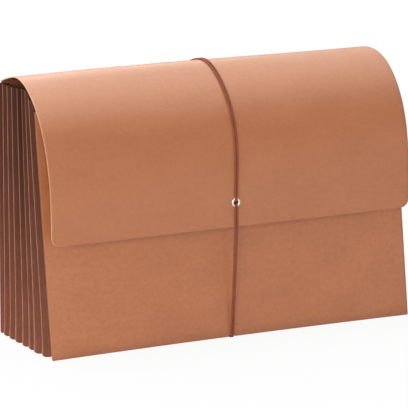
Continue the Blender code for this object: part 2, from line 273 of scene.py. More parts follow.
def smooth_line(marks: Array, steps: int) -> Array:
    """A smooth line through marks: a cubic from each to the next, with slopes from their neighbours.

    Args:
        marks: Points that the line passes.
        steps: Parts between two marks.

    Returns:
        Points of the line.
    """
    slope = np.gradient(marks, axis=0)
    t = np.linspace(0.0, 1.0, steps + 1)[:-1][None, :, None]
    p, q, m, n = marks[:-1, None], marks[1:, None], slope[:-1, None], slope[1:, None]
    line = ((2 * t ** 3 - 3 * t ** 2 + 1) * p + (t ** 3 - 2 * t ** 2 + t) * m
            + (3 * t ** 2 - 2 * t ** 3) * q + (t ** 3 - t ** 2) * n)
    return np.concatenate([line.reshape(-1, marks.shape[1]), marks[-1:]])


def stand_for(piece: bpy.types.Object, slot: str, *nodes: str) -> bpy.types.Object:
    """Hides the nodes of the frame that a piece stands for.

    Args:
        piece: The piece.
        slot: Not used.
        nodes: Nodes of the frame, or none.

    Returns:
        The piece.
    """
    if nodes:
        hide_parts(*nodes)
    return piece


# Sizes and lines of the wallet


@dataclass(frozen=True)
class Wallet:
    """Sizes that the pieces share, in metres, as the frame has them, apart from a taller front board."""

    width: float = 0.381
    back_height: float = 0.254
    front_height: float = 0.2358
    depth: float = 0.13335
    lean: float = math.radians(5.48)
    board: float = 0.0008
    glue: float = 0.0002
    cord: float = 0.00085
    cord_lift: float = 0.00092
    foot_x: float = -0.003
    pair: float = 0.0011

    @property
    def apex(self) -> Array:
        """Where the planes of the two boards meet, above the middle of the wallet."""
        return np.array(JOINTS["expand"]["pos_m"])

    @property
    def radius(self) -> float:
        """Distance from the apex line to the boards' feet."""
        return self.depth / 2 / math.sin(self.lean)

    def board_line(self, sign: int, height: Array) -> tuple[Array, Array]:
        """The outer face of a board in the side view: straight, leaning inwards.

        Args:
            sign: 1 for the back board, -1 for the front board.
            height: Distances up the board from its foot.

        Returns:
            Points with x = 0, and outward normals.
        """
        up = np.array([0.0, -sign * math.sin(self.lean), math.cos(self.lean)])
        out = np.array([0.0, sign * math.cos(self.lean), math.sin(self.lean)])
        floor = self.apex[2] - self.radius * math.cos(self.lean)
        foot = np.array([0.0, self.apex[1] + sign * self.depth / 2, floor])
        points = foot + out * (self.glue + self.board) + np.asarray(height)[..., None] * up
        return points, np.broadcast_to(out, points.shape)


@dataclass
class Wrap:
    """The line of the back board, the crease and the flap as one sheet, by its length from the crease.

    The angles are the flap's slopes, in degrees, at the shares of the roll. A span is a first length and
    how long it is. The crown's side is the bow's least share at the left edge and the width of its fade,
    and the pinch's size is its width and its length.
    """

    wallet: Wallet
    length: float = 0.2285
    eyelet_at: float = 0.2047
    eyelet_x: float = 0.0013
    roll_to_depth: float = 1.425
    shares: tuple[float, ...] = (0.0, 0.158, 0.316, 0.474, 0.632, 0.816, 1.0, 1.2)
    angles: tuple[float, ...] = (16.0, 5.0, -19.0, -45.0, -62.0, -78.0, -91.0, -92.0)
    crease_rise: float = 0.0012
    bend_before: float = 0.0020
    bend_after: float = 0.0026
    bend_pulls: tuple[float, float] = (0.5, 0.45)
    bend_steps: int = 13
    board_step: float = 0.002
    step: float = 0.00025
    pinch: float = 0.0018
    pinch_x: float = 0.006
    pinch_at: float = 0.002
    pinch_size: tuple[float, float] = (0.008, 0.009)
    crown_bow: float = 0.0030
    crown_span: tuple[float, float] = (0.004, 0.080)
    crown_from: float = -0.06
    crown_side: tuple[float, float] = (0.65, 0.08)
    shoulder_bow: float = 0.0034
    shoulder_span: tuple[float, float] = (0.015, 0.195)
    shoulder_from: float = -0.05

    def __post_init__(self) -> None:
        """Works out the line once: board, a curve over the crease, then the rolled flap."""
        wallet = self.wallet
        heights = np.arange(0.0, wallet.back_height - self.bend_before + 1e-9, self.board_step)
        board, _ = wallet.board_line(1, heights)
        flap_at, flap = self.flap_points()
        keep = flap_at >= self.bend_after
        flap_at, flap = flap_at[keep], flap[keep]
        start, end = board[-1], flap[0]
        up = unit(board[-1] - board[-2])
        on = unit(flap[1] - flap[0])
        span = np.linalg.norm(end - start)
        t = np.linspace(0.0, 1.0, self.bend_steps + 1)[1:-1, None]
        first, last = self.bend_pulls
        pulls = (start, start + up * span * first, end - on * span * last, end)
        weights = ((1 - t) ** 3, 3 * t * (1 - t) ** 2, 3 * t * t * (1 - t), t ** 3)
        turn = sum(weight * pull for weight, pull in zip(weights, pulls))
        before = heights - wallet.back_height
        between = before[-1] + (flap_at[0] - before[-1]) * t[:, 0]
        self.at = np.concatenate([before, between, flap_at])
        self.line = np.concatenate([board, turn, flap])
        along = unit(np.gradient(self.line, axis=0))
        self.normal = np.stack([np.zeros(len(along)), along[:, 2], -along[:, 1]], axis=1)

    def flap_points(self) -> tuple[Array, Array]:
        """The flap's outer line: its direction, read between stations of the roll, summed step by step.

        Returns:
            Lengths from the crease, and points with x = 0.
        """
        wallet = self.wallet
        stations = np.arange(0.0, self.length + self.step / 2, self.step)
        middle = (stations[:-1] + self.step / 2) / (self.roll_to_depth * wallet.depth)
        angle = np.radians(np.interp(middle, self.shares, self.angles))
        moves = np.stack([np.zeros(len(angle)), -np.cos(angle), np.sin(angle)], axis=1) * self.step
        face, out = wallet.board_line(1, np.array([wallet.back_height + self.crease_rise]))
        start = face[0] - out[0] * wallet.board / 2
        return stations, start + np.concatenate([np.zeros((1, 3)), np.cumsum(moves, axis=0)])

    def bow(self, at: Array, x: Array) -> Array:
        """How far the flap stands proud of its even line: a little over the crown, and at the right shoulder.

        Each swelling is a squared sine along the flap, faded across the width. Under the cord the crown
        is pressed in by a bell curve.

        Args:
            at: Lengths from the crease.
            x: Places across the width.

        Returns:
            Distances along the normal.
        """
        half = self.wallet.width / 2.0
        crown, shoulder = (
            np.sin(math.pi * np.clip((at - first) / span, 0.0, 1.0)) ** 2
            for first, span in (self.crown_span, self.shoulder_span))
        least, fade = self.crown_side
        left = 1.0 - ease((x - self.crown_from) / (half - self.crown_from))
        left = left * (least + (1.0 - least) * ease((x + half) / fade))
        right = ease((x - self.shoulder_from) / (half - self.shoulder_from))
        wide, long = self.pinch_size
        press = self.pinch * np.exp(-((x - self.pinch_x) / wide) ** 2 - ((at - self.pinch_at) / long) ** 2)
        return self.crown_bow * crown * left + self.shoulder_bow * shoulder * right - press

    def place(self, at: Array, x: Array | float = 0.0) -> tuple[Array, Array]:
        """Points of the outer face and outward normals at lengths from the crease.

        Args:
            at: Lengths, below 0 on the back board and above 0 on the flap.
            x: Places across the width.

        Returns:
            Points, and normals of the even line.
        """
        points = np.stack([np.interp(at, self.at, self.line[:, k]) for k in range(3)], axis=-1)
        normals = np.stack([np.interp(at, self.at, self.normal[:, k]) for k in range(3)], axis=-1)
        normals = unit(normals)
        across = np.broadcast_to(np.asarray(x, float), np.shape(at))
        points = points + normals * self.bow(np.asarray(at, float), across)[..., None]
        points[..., 0] += across
        return points, normals

    def bend(self, piece: bpy.types.Object, bend: Bend) -> bpy.types.Object:
        """Bakes the transform of a piece that lies on the line between two bodies into its mesh.

        Args:
            piece: The piece.
            bend: The bodies, and the lengths between which it turns.

        Returns:
            The piece.
        """
        parent, child, low, high = bend.value
        start, end = (tuple(self.place(np.array(at))[0]) for at in (low, high))
        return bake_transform(piece)

    def eyelet_frame(self) -> tuple[Array, Array]:
        """Where the eyelet sits on the flap.

        Returns:
            Its centre, and its axes as rows: along the width, up the flap and outwards.
        """
        centre, normal = self.place(np.array(self.eyelet_at), self.eyelet_x)
        side = np.array([1.0, 0.0, 0.0])
        return centre, np.stack([side, np.cross(normal, side), normal])


# Shader maths


class Wire:
    """A value in a material. Arithmetic on it adds Math nodes."""

    def __init__(self, graph: Graph, socket: bpy.types.NodeSocket) -> None:
        """Keeps the graph and the socket that gives the value."""
        self.graph = graph
        self.socket = socket

    def _math(self, operation: str, first: Wire | float, second: Wire | float) -> Wire:
        """One Math node."""
        return self.graph.node("ShaderNodeMath", {"operation": operation}, {0: first, 1: second})

    def __add__(self, other: Wire | float) -> Wire:
        """Sum."""
        return self._math("ADD", self, other)

    __radd__ = __add__

    def __mul__(self, other: Wire | float) -> Wire:
        """Product."""
        return self._math("MULTIPLY", self, other)

    def __sub__(self, other: Wire | float) -> Wire:
        """Difference."""
        return self._math("SUBTRACT", self, other)

    def least(self, other: Wire | float) -> Wire:
        """The smaller of two values."""
        return self._math("MINIMUM", self, other)

    def most(self, other: Wire | float) -> Wire:
        """The larger of two values."""
        return self._math("MAXIMUM", self, other)

    def wave(self) -> Wire:
        """Sine of the value."""
        return self._math("SINE", self, 0.0)


class Graph:
    """A material, or the world, and the nodes in it."""

    def __init__(self, name: str, world: bpy.types.World | None = None) -> None:
        """Starts an empty material, or empties the world's nodes.

        Args:
            name: Name of the material.
            world: The world, in place of a material.
        """
        self.material = world or bpy.data.materials.new(name)
        self.material.use_nodes = True
        self.tree = self.material.node_tree
        self.tree.nodes.clear()
        self.out = self.tree.nodes.new("ShaderNodeOutputWorld" if world else "ShaderNodeOutputMaterial")

    def node(self, kind: str, settings: dict, sockets: dict, output: int | str = 0) -> Wire:
        """Adds a node.

        Args:
            kind: The node's type.
            settings: Its own settings.
            sockets: Values or links of its sockets, by name or number.
            output: The socket that gives the result.

        Returns:
            The result.
        """
        made = self.tree.nodes.new(kind)
        for key, value in settings.items():
            setattr(made, key, value)
        for key, value in sockets.items():
            if isinstance(value, Wire):
                self.tree.links.new(value.socket, made.inputs[key])
            else:
                made.inputs[key].default_value = value
        return Wire(self, made.outputs[output])

    def chart(self, stretch: Stretch = EVEN) -> Wire:
        """The piece's own chart, stretched.

        Args:
            stretch: Factors along the chart's two directions.

        Returns:
            Coordinates.
        """
        uv = self.node("ShaderNodeUVMap", {"uv_map": GRAIN}, {})
        return self.node("ShaderNodeVectorMath", {"operation": "MULTIPLY"}, {0: uv, 1: (*stretch, 0.0)})

    def noise(self, stretch: Stretch, scale: float, detail: float = 2.0, rough: float = 0.5) -> Wire:
        """Noise about 0 over the piece's chart, from about -0.5 to 0.5.

        Args:
            stretch: Factors along the chart's two directions.
            scale: Waves per unit.
            detail: Octaves.
            rough: Weight of each finer octave.

        Returns:
            The value.
        """
        sockets = {"Vector": self.chart(stretch), "Scale": scale, "Detail": detail, "Roughness": rough}
        return self.node("ShaderNodeTexNoise", {}, sockets) - 0.5

    def mix(self, share: Wire | float, first: Wire | Colour, second: Wire | Colour) -> Wire:
        """A colour between two.

        Args:
            share: 0 for the first colour, 1 for the second.
            first: Colour or link.
            second: Colour or link.

        Returns:
            The colour.
        """
        ends = [c if isinstance(c, Wire) else (*c, 1.0) for c in (first, second)]
        settings = {"data_type": "RGBA", "clamp_factor": True}
        return self.node("ShaderNodeMix", settings, {0: share, 6: ends[0], 7: ends[1]}, 2)

    def wear(self) -> Wire:
        """The surface's mark: 1 where rubbing and a painted highlight pale it, and -1 where painted shade
        darkens it.
        """
        return self.node("ShaderNodeAttribute", {"attribute_name": "wear"}, {}, "Fac")

    def bump(self, height: Wire, strength: float, distance: float) -> Wire:
        """A normal that follows a height.

        Args:
            height: The height, 0 to 1.
            strength: Share of the effect.
            distance: Height of 1, in metres.

        Returns:
            The normal.
        """
        return self.node("ShaderNodeBump", {}, {"Strength": strength, "Distance": distance, "Height": height})

    def close(self, sockets: dict) -> bpy.types.Material:
        """Ends the material with its surface.

        Args:
            sockets: Values or links of the surface's sockets.

        Returns:
            The material.
        """
        surface = self.node("ShaderNodeBsdfPrincipled", {}, sockets)
        self.node_output(surface)
        return self.material

    def node_output(self, surface: Wire) -> None:
        """Links a surface to the material's output."""
        self.tree.links.new(surface.socket, self.out.inputs["Surface"])

    def seen(self) -> Wire:
        """Tells what is seen from what only takes light.

        Returns:
            1 for rays from the camera, from mirrors and through glass.
        """
        kinds = ("Is Camera Ray", "Is Glossy Ray", "Is Transmission Ray")
        camera, mirror, glass = (self.node("ShaderNodeLightPath", {}, {}, kind) for kind in kinds)
        return camera.most(mirror).most(glass)


@dataclass(frozen=True)
class BoardFinish:
    """Tan fibre board: cloudy formation drawn out along the width, fine fibres, paler edges that are partly
    rubbed and partly a painted highlight, and painted shade along the foot and the right side.
    """

    name: str = "tan_board"
    dark: Colour = (0.374, 0.115, 0.036)
    light: Colour = (0.516, 0.183, 0.070)
    # Pale edge colour: partly rubbing, partly a painted highlight on the lit left side.
    rubbed_and_highlight: Colour = (0.64, 0.33, 0.18)
    # Colour of the painted shade along a foot and the right side.
    painted_shade: Colour = (0.170, 0.040, 0.018)
    rubbing_and_highlight: float = 0.75
    roughness: float = 0.46
    specular: float = 0.76

    def dress(self) -> bpy.types.Material:
        """Makes the material.

        Returns:
            The material.
        """
        g = Graph(self.name)
        clouds = g.noise((0.7, 1.0), 34.0, 3.0, 0.6)
        blots = g.noise((0.8, 1.0), 210.0, 3.0, 0.65)
        fibres = g.noise((0.30, 1.0), 1700.0, 2.0, 0.6)
        grit = g.noise(EVEN, 2600.0, 2.0, 0.6)
        drawn = g.noise((0.05, 1.0), 260.0, 3.0, 0.6)
        share = 0.5 + clouds * 0.60 + blots * 0.75 + drawn * 0.16 + fibres * 0.60 + grit * 0.24
        colour = g.mix(share, self.dark, self.light)
        flecks = g.noise((0.30, 1.0), 700.0, 1.0, 0.5)
        colour = g.mix(((flecks - 0.17) * 5.0).most(0.0).least(0.35), colour, self.dark)
        wear = g.wear()
        # Paler edges: partly rubbing, partly a painted highlight.
        worn_and_lit = (wear * (1.0 + blots * 2.2) * self.rubbing_and_highlight).most(0.0)
        colour = g.mix(worn_and_lit, colour, self.rubbed_and_highlight)
        # Painted shade along a foot and the right side.
        colour = g.mix((wear * -0.8).most(0.0), colour, self.painted_shade)
        rough = self.roughness + clouds * 0.10 + drawn * 0.22 + fibres * 0.12
        height = fibres * 0.6 + grit * 0.5 + blots * 0.5
        return g.close({
            "Base Color": colour,
            "Roughness": rough,
            "Specular IOR Level": self.specular,
            "Normal": g.bump(height, 0.5, 0.00012),
        })


@dataclass(frozen=True)
class CoreFinish:
    """The pale cut edge of the board, with its layers."""

    name: str = "board_core"
    dark: Colour = (0.52, 0.27, 0.15)
    light: Colour = (0.78, 0.50, 0.32)

    def dress(self) -> bpy.types.Material:
        """Makes the material.

        Returns:
            The material.
        """
        g = Graph(self.name)
        layers = g.noise(EVEN, 420.0, 3.0, 0.7)
        fluff = g.noise(EVEN, 3100.0, 2.0, 0.6)
        colour = g.mix(0.6 + layers * 0.9 + fluff * 0.5, self.dark, self.light)
        return g.close({
            "Base Color": colour,
            "Roughness": 0.75 + fluff * 0.2,
            "Normal": g.bump(layers + fluff, 0.5, 0.0001),
        })


@dataclass(frozen=True)
class GussetFinish:
    """Dark brown gusset paper: fine mottle, folds paled along their crests partly by rubbing and partly by a
    painted highlight, and painted shade darkening the valleys and the upper leaves.
    """

    name: str = "gusset_paper"
    dark: Colour = (0.150, 0.046, 0.024)
    light: Colour = (0.325, 0.118, 0.072)
    # Pale crest colour: partly rubbing, partly a painted highlight.
    crest: Colour = (0.50, 0.26, 0.18)
    # Near black colour of the painted shade.
    deep: Colour = (0.022, 0.006, 0.0025)

    def dress(self) -> bpy.types.Material:
        """Makes the material.

        Returns:
            The material.
        """
        g = Graph(self.name)
        clouds = g.noise((1.0, 0.6), 60.0, 3.0, 0.6)
        mottle = g.noise((1.0, 0.5), 330.0, 3.0, 0.65)
        fibres = g.noise((1.0, 0.2), 2400.0, 2.0, 0.6)
        streaks = g.noise((1.0, 0.02), 420.0, 2.0, 0.6)
        share = 0.5 + clouds * 0.6 + mottle * 0.5 + fibres * 0.4 + streaks * 0.8
        colour = g.mix(share, self.dark, self.light)
        wear = g.wear()
        # Crests paler, partly rubbed and partly a painted highlight.
        worn_and_lit = (wear * (0.82 + mottle * 1.3 + clouds * 0.5)).most(0.0)
        colour = g.mix(worn_and_lit, colour, self.crest)
        # Painted shade from the negative mark: up the leaves and in the valleys.
        colour = g.mix((wear * -0.8).most(0.0), colour, self.deep)
        return g.close({
            "Base Color": colour,
            "Roughness": 0.70 + mottle * 0.2 + fibres * 0.1,
            "Specular IOR Level": 0.10,
            "Normal": g.bump(mottle * 0.7 + fibres * 0.6, 0.5, 0.00015),
        })


@dataclass(frozen=True)
class ElasticFinish:
    """Braided elastic: two crossing spirals of yarn, paler on their crowns as a painted highlight and darker
    in the valleys between them as painted shade.
    """

    name: str = "brown_elastic"
    dark: Colour = (0.125, 0.030, 0.014)
    light: Colour = (0.53, 0.160, 0.086)
    yarns: float = 6.0
    slope: float = 0.55

    def dress(self) -> bpy.types.Material:
        """Makes the material.

        Returns:
            The material.
        """
        g = Graph(self.name)
        turns = 2.0 * math.pi * self.yarns
        place = g.chart()
        around = g.node("ShaderNodeSeparateXYZ", {}, {0: place}, "X") * turns
        along = g.node("ShaderNodeSeparateXYZ", {}, {0: place}, "Y") * (turns * self.slope)
        one, two = (spiral.wave() * 0.5 + 0.5 for spiral in (around + along, around - along))
        yarn = one.most(two)
        lint = g.noise((9.0, 3.0), 5.0, 3.0, 0.65)
        fade = g.noise((0.5, 0.25), 1.0, 2.0, 0.5)
        # The yarn pattern paints highlight on the crowns and shade in the valleys.
        colour = g.mix(yarn * 0.62 + lint * 0.5 + fade * 0.35, self.dark, self.light)
        return g.close({
            "Base Color": colour,
            "Roughness": 0.72 + lint * 0.2,
            "Specular IOR Level": 0.14,
            "Normal": g.bump(yarn + lint * 0.4, 0.8, 0.00016),
        })


@dataclass(frozen=True)
class NickelFinish:
    """Nickel plate with faint tumbling marks, tinted warm pink as a painted reflection of the tan board round
    it.
    """

    name: str = "nickel_plate"
    # Warm pink tint: a painted reflection of the tan board.
    dark: Colour = (0.70, 0.59, 0.52)
    light: Colour = (0.95, 0.85, 0.78)

    def dress(self) -> bpy.types.Material:
        """Makes the material.

        Returns:
            The material.
        """
        g = Graph(self.name)
        smear = g.noise(EVEN, 3.0, 3.0, 0.6)
        marks = g.noise((8.0, 1.0), 9.0, 3.0, 0.7)
        return g.close({
            "Base Color": g.mix(0.6 + smear * 0.8, self.dark, self.light),
            "Metallic": 1.0,
            "Roughness": 0.24 + smear * 0.14 + marks * 0.12,
            "Normal": g.bump(marks, 0.25, 0.00005),
        })


@dataclass
class Finishes:
    """Every material of the wallet, made once."""

    board: bpy.types.Material = field(default_factory=BoardFinish().dress)
    # A paler copy of the board's finish for the front board: painted light, making up for the shade that the
    # flap casts on it.
    front: bpy.types.Material = field(default_factory=BoardFinish(
        "tan_front_board", (0.368, 0.108, 0.031), (0.586, 0.213, 0.083), rubbing_and_highlight=0.25).dress)
    core: bpy.types.Material = field(default_factory=CoreFinish().dress)
    front_core: bpy.types.Material = field(default_factory=CoreFinish(
        "front_board_core", (0.30, 0.105, 0.042), (0.46, 0.20, 0.10)).dress)
    gusset: bpy.types.Material = field(default_factory=GussetFinish().dress)
    elastic: bpy.types.Material = field(default_factory=ElasticFinish().dress)
    nickel: bpy.types.Material = field(default_factory=NickelFinish().dress)


# Boards and flap


@dataclass
class BoardSheet:
    """A board or a strip of the flap: an outline in the flat sheet, carried onto a line in the side view.

    Two of the distances are how far marks fade from an edge: a paler edge, partly rubbing and partly a
    painted highlight, and painted shade.
    """

    thickness: float
    chamfer: float = 0.00013
    rub_and_highlight: float = 0.0007
    edge_shade: float = 0.0010
    side_shade: float = 0.9
    inner_wear_and_light: float = 0.4
    inner_shift: tuple[float, float] = (1.7, 0.9)

    def skin(self, flat: Array, line: Line, edges: tuple[Edge, Edge, Edge], away: float = 0.0) -> Skin:
        """Closes a sheet: outer face, inner face, and a rim with small chamfers.

        The outer point of a flat point (x, l) is the line's point at l, moved by x along the width.
        The inner face lies one thickness below along the line's normal.

        Args:
            flat: Grid (rows, columns, 2) of flat points.
            line: Gives points and normals at lengths.
            edges: What the first row, the last row and the two sides are.
            away: Offset of the chart, so that boards don't share a pattern.

        Returns:
            The skin.
        """
        rows, columns = flat.shape[:2]
        first, last, sides = (edge.chamfer * self.chamfer for edge in edges)
        inset = flat.copy()
        inset[0, :, 1] += first
        inset[-1, :, 1] -= last
        inset[:, 0, 0] += sides
        inset[:, -1, 0] -= sides
        wear = self.wear_and_light_of(flat, edges).ravel()
        made = Skin()
        faces = ((0.0, wear, 1, (0.0, 0.0)), (self.thickness, self.inner_wear_and_light * wear, -1, self.inner_shift))
        for depth, worn_and_lit, order, shift in faces:
            start = made.add_points(self.carry(inset, line, depth), worn_and_lit)
            quads = grid_faces(rows, columns, start)[:, ::order]
            made.add_quads(quads, corner_chart(quads, inset + [away, 0.0] + shift, start))
        row, column = border(rows, columns)
        ring = flat[row, column]
        outer = row * columns + column
        inner = outer + rows * columns
        # Rims are marked pale; a tinted foot's rim is marked dark with painted shade.
        worn_and_lit = np.where((row == 0) & (edges[0] is Edge.TINTED), -1.0, 1.0)
        around = np.arange(len(row))
        depths = (self.chamfer, self.thickness - self.chamfer)
        upper, lower = (made.add_points(self.carry(ring, line, depth), worn_and_lit) + around for depth in depths)
        spans = (columns - 1, rows - 1, columns - 1, rows - 1)
        slots = np.repeat([edge.slot for edge in (edges[0], edges[2], edges[1], edges[2])], spans)
        ahead = np.roll(ring, -1, axis=0)
        deep = [0.0, self.thickness]
        chart = np.stack([ring, ahead, ahead + deep, ring + deep], axis=1) + [away, 0.0]
        for above, below in ((outer, upper), (upper, lower), (lower, inner)):
            quads = np.stack([above, np.roll(above, -1), np.roll(below, -1), below], axis=1)
            made.add_quads(quads, chart, slots)
        return made

    def carry(self, flat: Array, line: Line, below: float) -> Array:
        """Points of a flat grid on the line, at a depth below its face."""
        points, normals = line.place(flat[..., 1], flat[..., 0])
        return points - normals * below

    def wear_and_light_of(self, flat: Array, edges: tuple[Edge, Edge, Edge]) -> Array:
        """Marks of a sheet: a paler band along the last row and the left side where they are pale cuts,
        partly rubbing and partly a painted highlight, and painted shade (below 0) along a foot and the right
        side.

        Both fade exponentially with the distance from their edge.

        Args:
            flat: Grid of flat points.
            edges: What the borders are.

        Returns:
            Mark of each grid point.
        """
        distance = np.full(flat.shape[:2], 1.0)
        # Painted shade along a tinted foot and along the right side of a cut sheet.
        edge_shade = np.zeros(flat.shape[:2])
        if edges[0] is Edge.TINTED:
            edge_shade = np.exp(-(flat[..., 1] - flat[:1, :, 1]) / self.edge_shade)
        if edges[1] is Edge.CUT:
            distance = np.minimum(distance, flat[-1:, :, 1] - flat[..., 1])
        if edges[2] is Edge.CUT:
            distance = np.minimum(distance, flat[..., 0] - flat[:, :1, 0])
            right = np.exp(-(flat[:, -1:, 0] - flat[..., 0]) / self.edge_shade)
            edge_shade = np.maximum(edge_shade, self.side_shade * right)
        # Paler near the pale cuts by rubbing and a painted highlight, darker where the painted shade lies.
        return np.exp(-distance / self.rub_and_highlight) * (1.0 - edge_shade) - edge_shade


@dataclass
class FrontLine:
    """The front board's outer face by height."""

    wallet: Wallet

    def place(self, at: Array, x: Array | float = 0.0) -> tuple[Array, Array]:
        """Points of the outer face and outward normals.

        Args:
            at: Heights up the board.
            x: Places across the width.

        Returns:
            Points and normals.
        """
        points, normals = self.wallet.board_line(-1, at)
        points[..., 0] += x
        return points, normals


Line = Wrap | FrontLine


@dataclass
class Boards:
    """The front board, and the back board with the flap as one sheet cut into strips between the joints.

    Seams and the score are lengths from the crease, below 0 on the back board.
    """

    wallet: Wallet
    wrap: Wrap
    finishes: Finishes
    corner: float = 0.0012
    foot_bow: float = 0.0012
    foot_fade: float = 0.02
    front_rub_and_highlight: float = 0.0004
    front_chart: float = 4.0
    flap_inset: float = 0.001
    inset_over: float = 0.006
    flap_corner: float = 0.0085
    notch_depth: float = 0.0023
    notch_flat: float = 0.0020
    notch_slope: float = 0.0011
    crease_seam: float = -0.012
    spine_seam: float = 0.0065
    upper_seam: float = 0.0200
    lower_seam: float = 0.1212
    score: tuple[float, float] = (-0.003, 0.0035)
    seam_row: float = 0.0002
    row_step: float = 0.002
    near_side: float = 0.003
    near_foot: float = 0.0045
    near_pinch: float = 0.018
    hole_radius: float = 0.0033
    punch_in: float = 0.004
    punch_out: float = 0.003

    def columns(self) -> Array:
        """Stations across the width, closer at the sides and at the cord.

        Returns:
            Shares of half the width, from -1 to 1.
        """
        half = self.wallet.width / 2
        side, foot, pinch = self.near_side, self.wallet.foot_x, self.wrap.pinch_x
        marks = knots((-half, half, 36), (-half, -half + side, 5), (half - side, half, 5),
                      (foot - self.near_foot, foot + self.near_foot, 18),
                      (pinch - self.near_pinch, pinch + self.near_pinch, 12))
        return marks / half

    def rounded(self, from_end: Array, radius: float) -> Array:
        """How far a rounded corner draws the side in: r - sqrt(r^2 - (r - d)^2), d from the end."""
        short = np.clip(radius - from_end, 0.0, radius)
        return radius - np.sqrt(radius * radius - short * short)

    def notch(self, x: Array) -> Array:
        """Height of the small notch in a board's foot where the cord passes."""
        from_cord = np.abs(x - self.wallet.foot_x)
        return self.notch_depth * (1.0 - ease((from_cord - self.notch_flat) / self.notch_slope))

    def flat_board(self, low: float, high: float, top_corner: bool, bow: float = 0.0) -> Array:
        """A board's flat grid: rows from its notched foot to its top, with rounded corners.

        Args:
            low: Flat coordinate of the foot.
            high: Flat coordinate of the last row.
            top_corner: Whether the last row has rounded corners too.
            bow: How far the middle of the foot is off the floor.

        Returns:
            Grid (rows, columns, 2).
        """
        r = self.corner
        arc = r * (1.0 - np.cos(np.linspace(0.0, math.pi / 2, 9)))
        ends = [low + arc, np.linspace(low + r, high - r, 26)[1:-1]]
        ends.append(high - arc[::-1] if top_corner else np.array([high - r, high]))
        rows = np.concatenate(ends)
        half = self.wallet.width / 2 - self.rounded(rows - low, r)
        if top_corner:
            half = half - self.rounded(high - rows, r)
        x = half[:, None] * self.columns()[None, :]
        lift = self.notch(x) + bow * (1.0 - self.columns() ** 2)
        lift = lift * (1.0 - ease((rows[:, None] - low) / self.foot_fade))
        return np.stack([x, rows[:, None] + lift], axis=-1)

    def flat_strip(self, rows: Array, half: Array) -> Array:
        """A strip's flat grid: straight rows of a given half width."""
        x = half[:, None] * self.columns()[None, :]
        return np.stack([x, np.broadcast_to(rows[:, None], x.shape)], axis=-1)

    def build(self) -> list[bpy.types.Object]:
        """Makes the boards and the flap, and hangs the two boards on their bodies."""
        return [self.front_board(), self.back_board(), self.crease(), *self.rolls(), self.flap_front()]

    def finish(self, made: Skin, name: str, *nodes: str) -> bpy.types.Object:
        """Builds a sheet and dresses it.

        Args:
            made: Its skin.
            name: Name of the piece.
            nodes: Nodes that it stands for.

        Returns:
            The piece.
        """
        looks = self.finishes
        front = name == "front_board"
        piece = made.build(name, [looks.front, looks.front_core] if front else [looks.board, looks.core])
        return stand_for(piece, "board", *nodes)

    def front_board(self) -> bpy.types.Object:
        """The front board, with rounded corners and the cord's notch.

        Returns:
            The piece.
        """
        flat = self.flat_board(0.0, self.wallet.front_height, True, self.foot_bow)
        sheet = BoardSheet(self.wallet.board, rub_and_highlight=self.front_rub_and_highlight)
        edges = (Edge.TINTED, Edge.CUT, Edge.CUT)
        made = sheet.skin(flat, FrontLine(self.wallet), edges, away=self.front_chart)
        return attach(self.finish(made, "front_board", "front_panel"), "front")

    def back_board(self) -> bpy.types.Object:
        """The back board up to just below the crease.

        Returns:
            The piece.
        """
        flat = self.flat_board(-self.wallet.back_height, self.crease_seam, False)
        made = BoardSheet(self.wallet.board).skin(flat, self.wrap, (Edge.TINTED, Edge.SEAM, Edge.CUT))
        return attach(self.finish(made, "back_board", "back_panel"), "back")

    def crease(self) -> bpy.types.Object:
        """The scored fold between the back board and the flap.

        Returns:
            The piece.
        """
        low, high = self.crease_seam, self.spine_seam
        before, after = self.score
        rows = knots((low, low + self.seam_row, 1), (low, before, 6), (before, after, 18), (after, high, 3),
                     (high - self.seam_row, high, 1))
        half = self.wallet.width / 2 - self.flap_inset * ease((rows + self.inset_over) / self.inset_over)
        edges = (Edge.SEAM, Edge.SEAM, Edge.CUT)
        made = BoardSheet(self.wallet.board).skin(self.flat_strip(rows, half), self.wrap, edges)
        return self.wrap.bend(self.finish(made, "flap_crease", "flap_spine"), Bend.CREASE)

    def strip(self, low: float, high: float, corner: bool = False) -> Skin:
        """A strip of the flap between two lengths.

        Args:
            low: First length from the crease.
            high: Last length.
            corner: Whether the last row is the flap's edge, with rounded corners.

        Returns:
            The skin.
        """
        half = self.wallet.width / 2 - self.flap_inset
        seam = (low, low + self.seam_row, 1)
        if corner:
            arc = high - self.flap_corner * (1.0 - np.sin(np.linspace(0.0, math.pi / 2, 11)))
            rows = np.concatenate([knots(seam, (low, arc[0], 36)), arc[1:]])
            halves = half - self.rounded(high - rows, self.flap_corner)
        else:
            steps = max(24, int((high - low) / self.row_step))
            rows = knots(seam, (low, high, steps), (high - self.seam_row, high, 1))
            halves = np.full(len(rows), half)
        edges = (Edge.SEAM, Edge.TINTED if corner else Edge.SEAM, Edge.CUT)
        return BoardSheet(self.wallet.board).skin(self.flat_strip(rows, halves), self.wrap, edges)

    def rolls(self) -> list[bpy.types.Object]:
        """The two strips over the top.

        Returns:
            The pieces.
        """
        upper = self.strip(self.spine_seam, self.upper_seam)
        lower = self.strip(self.upper_seam, self.lower_seam)
        return [self.wrap.bend(self.finish(upper, "flap_roll_top", "flap_roll_upper"), Bend.TOP),
                self.wrap.bend(self.finish(lower, "flap_roll_front", "flap_roll_lower"), Bend.ROLL)]

    def flap_front(self) -> bpy.types.Object:
        """The hanging strip, with rounded corners and the eyelet's hole.

        Returns:
            The piece.
        """
        piece = self.finish(self.strip(self.lower_seam, self.wrap.length, True), "flap_fall", "flap_front")
        self.punch(piece)
        return self.wrap.bend(piece, Bend.FALL)

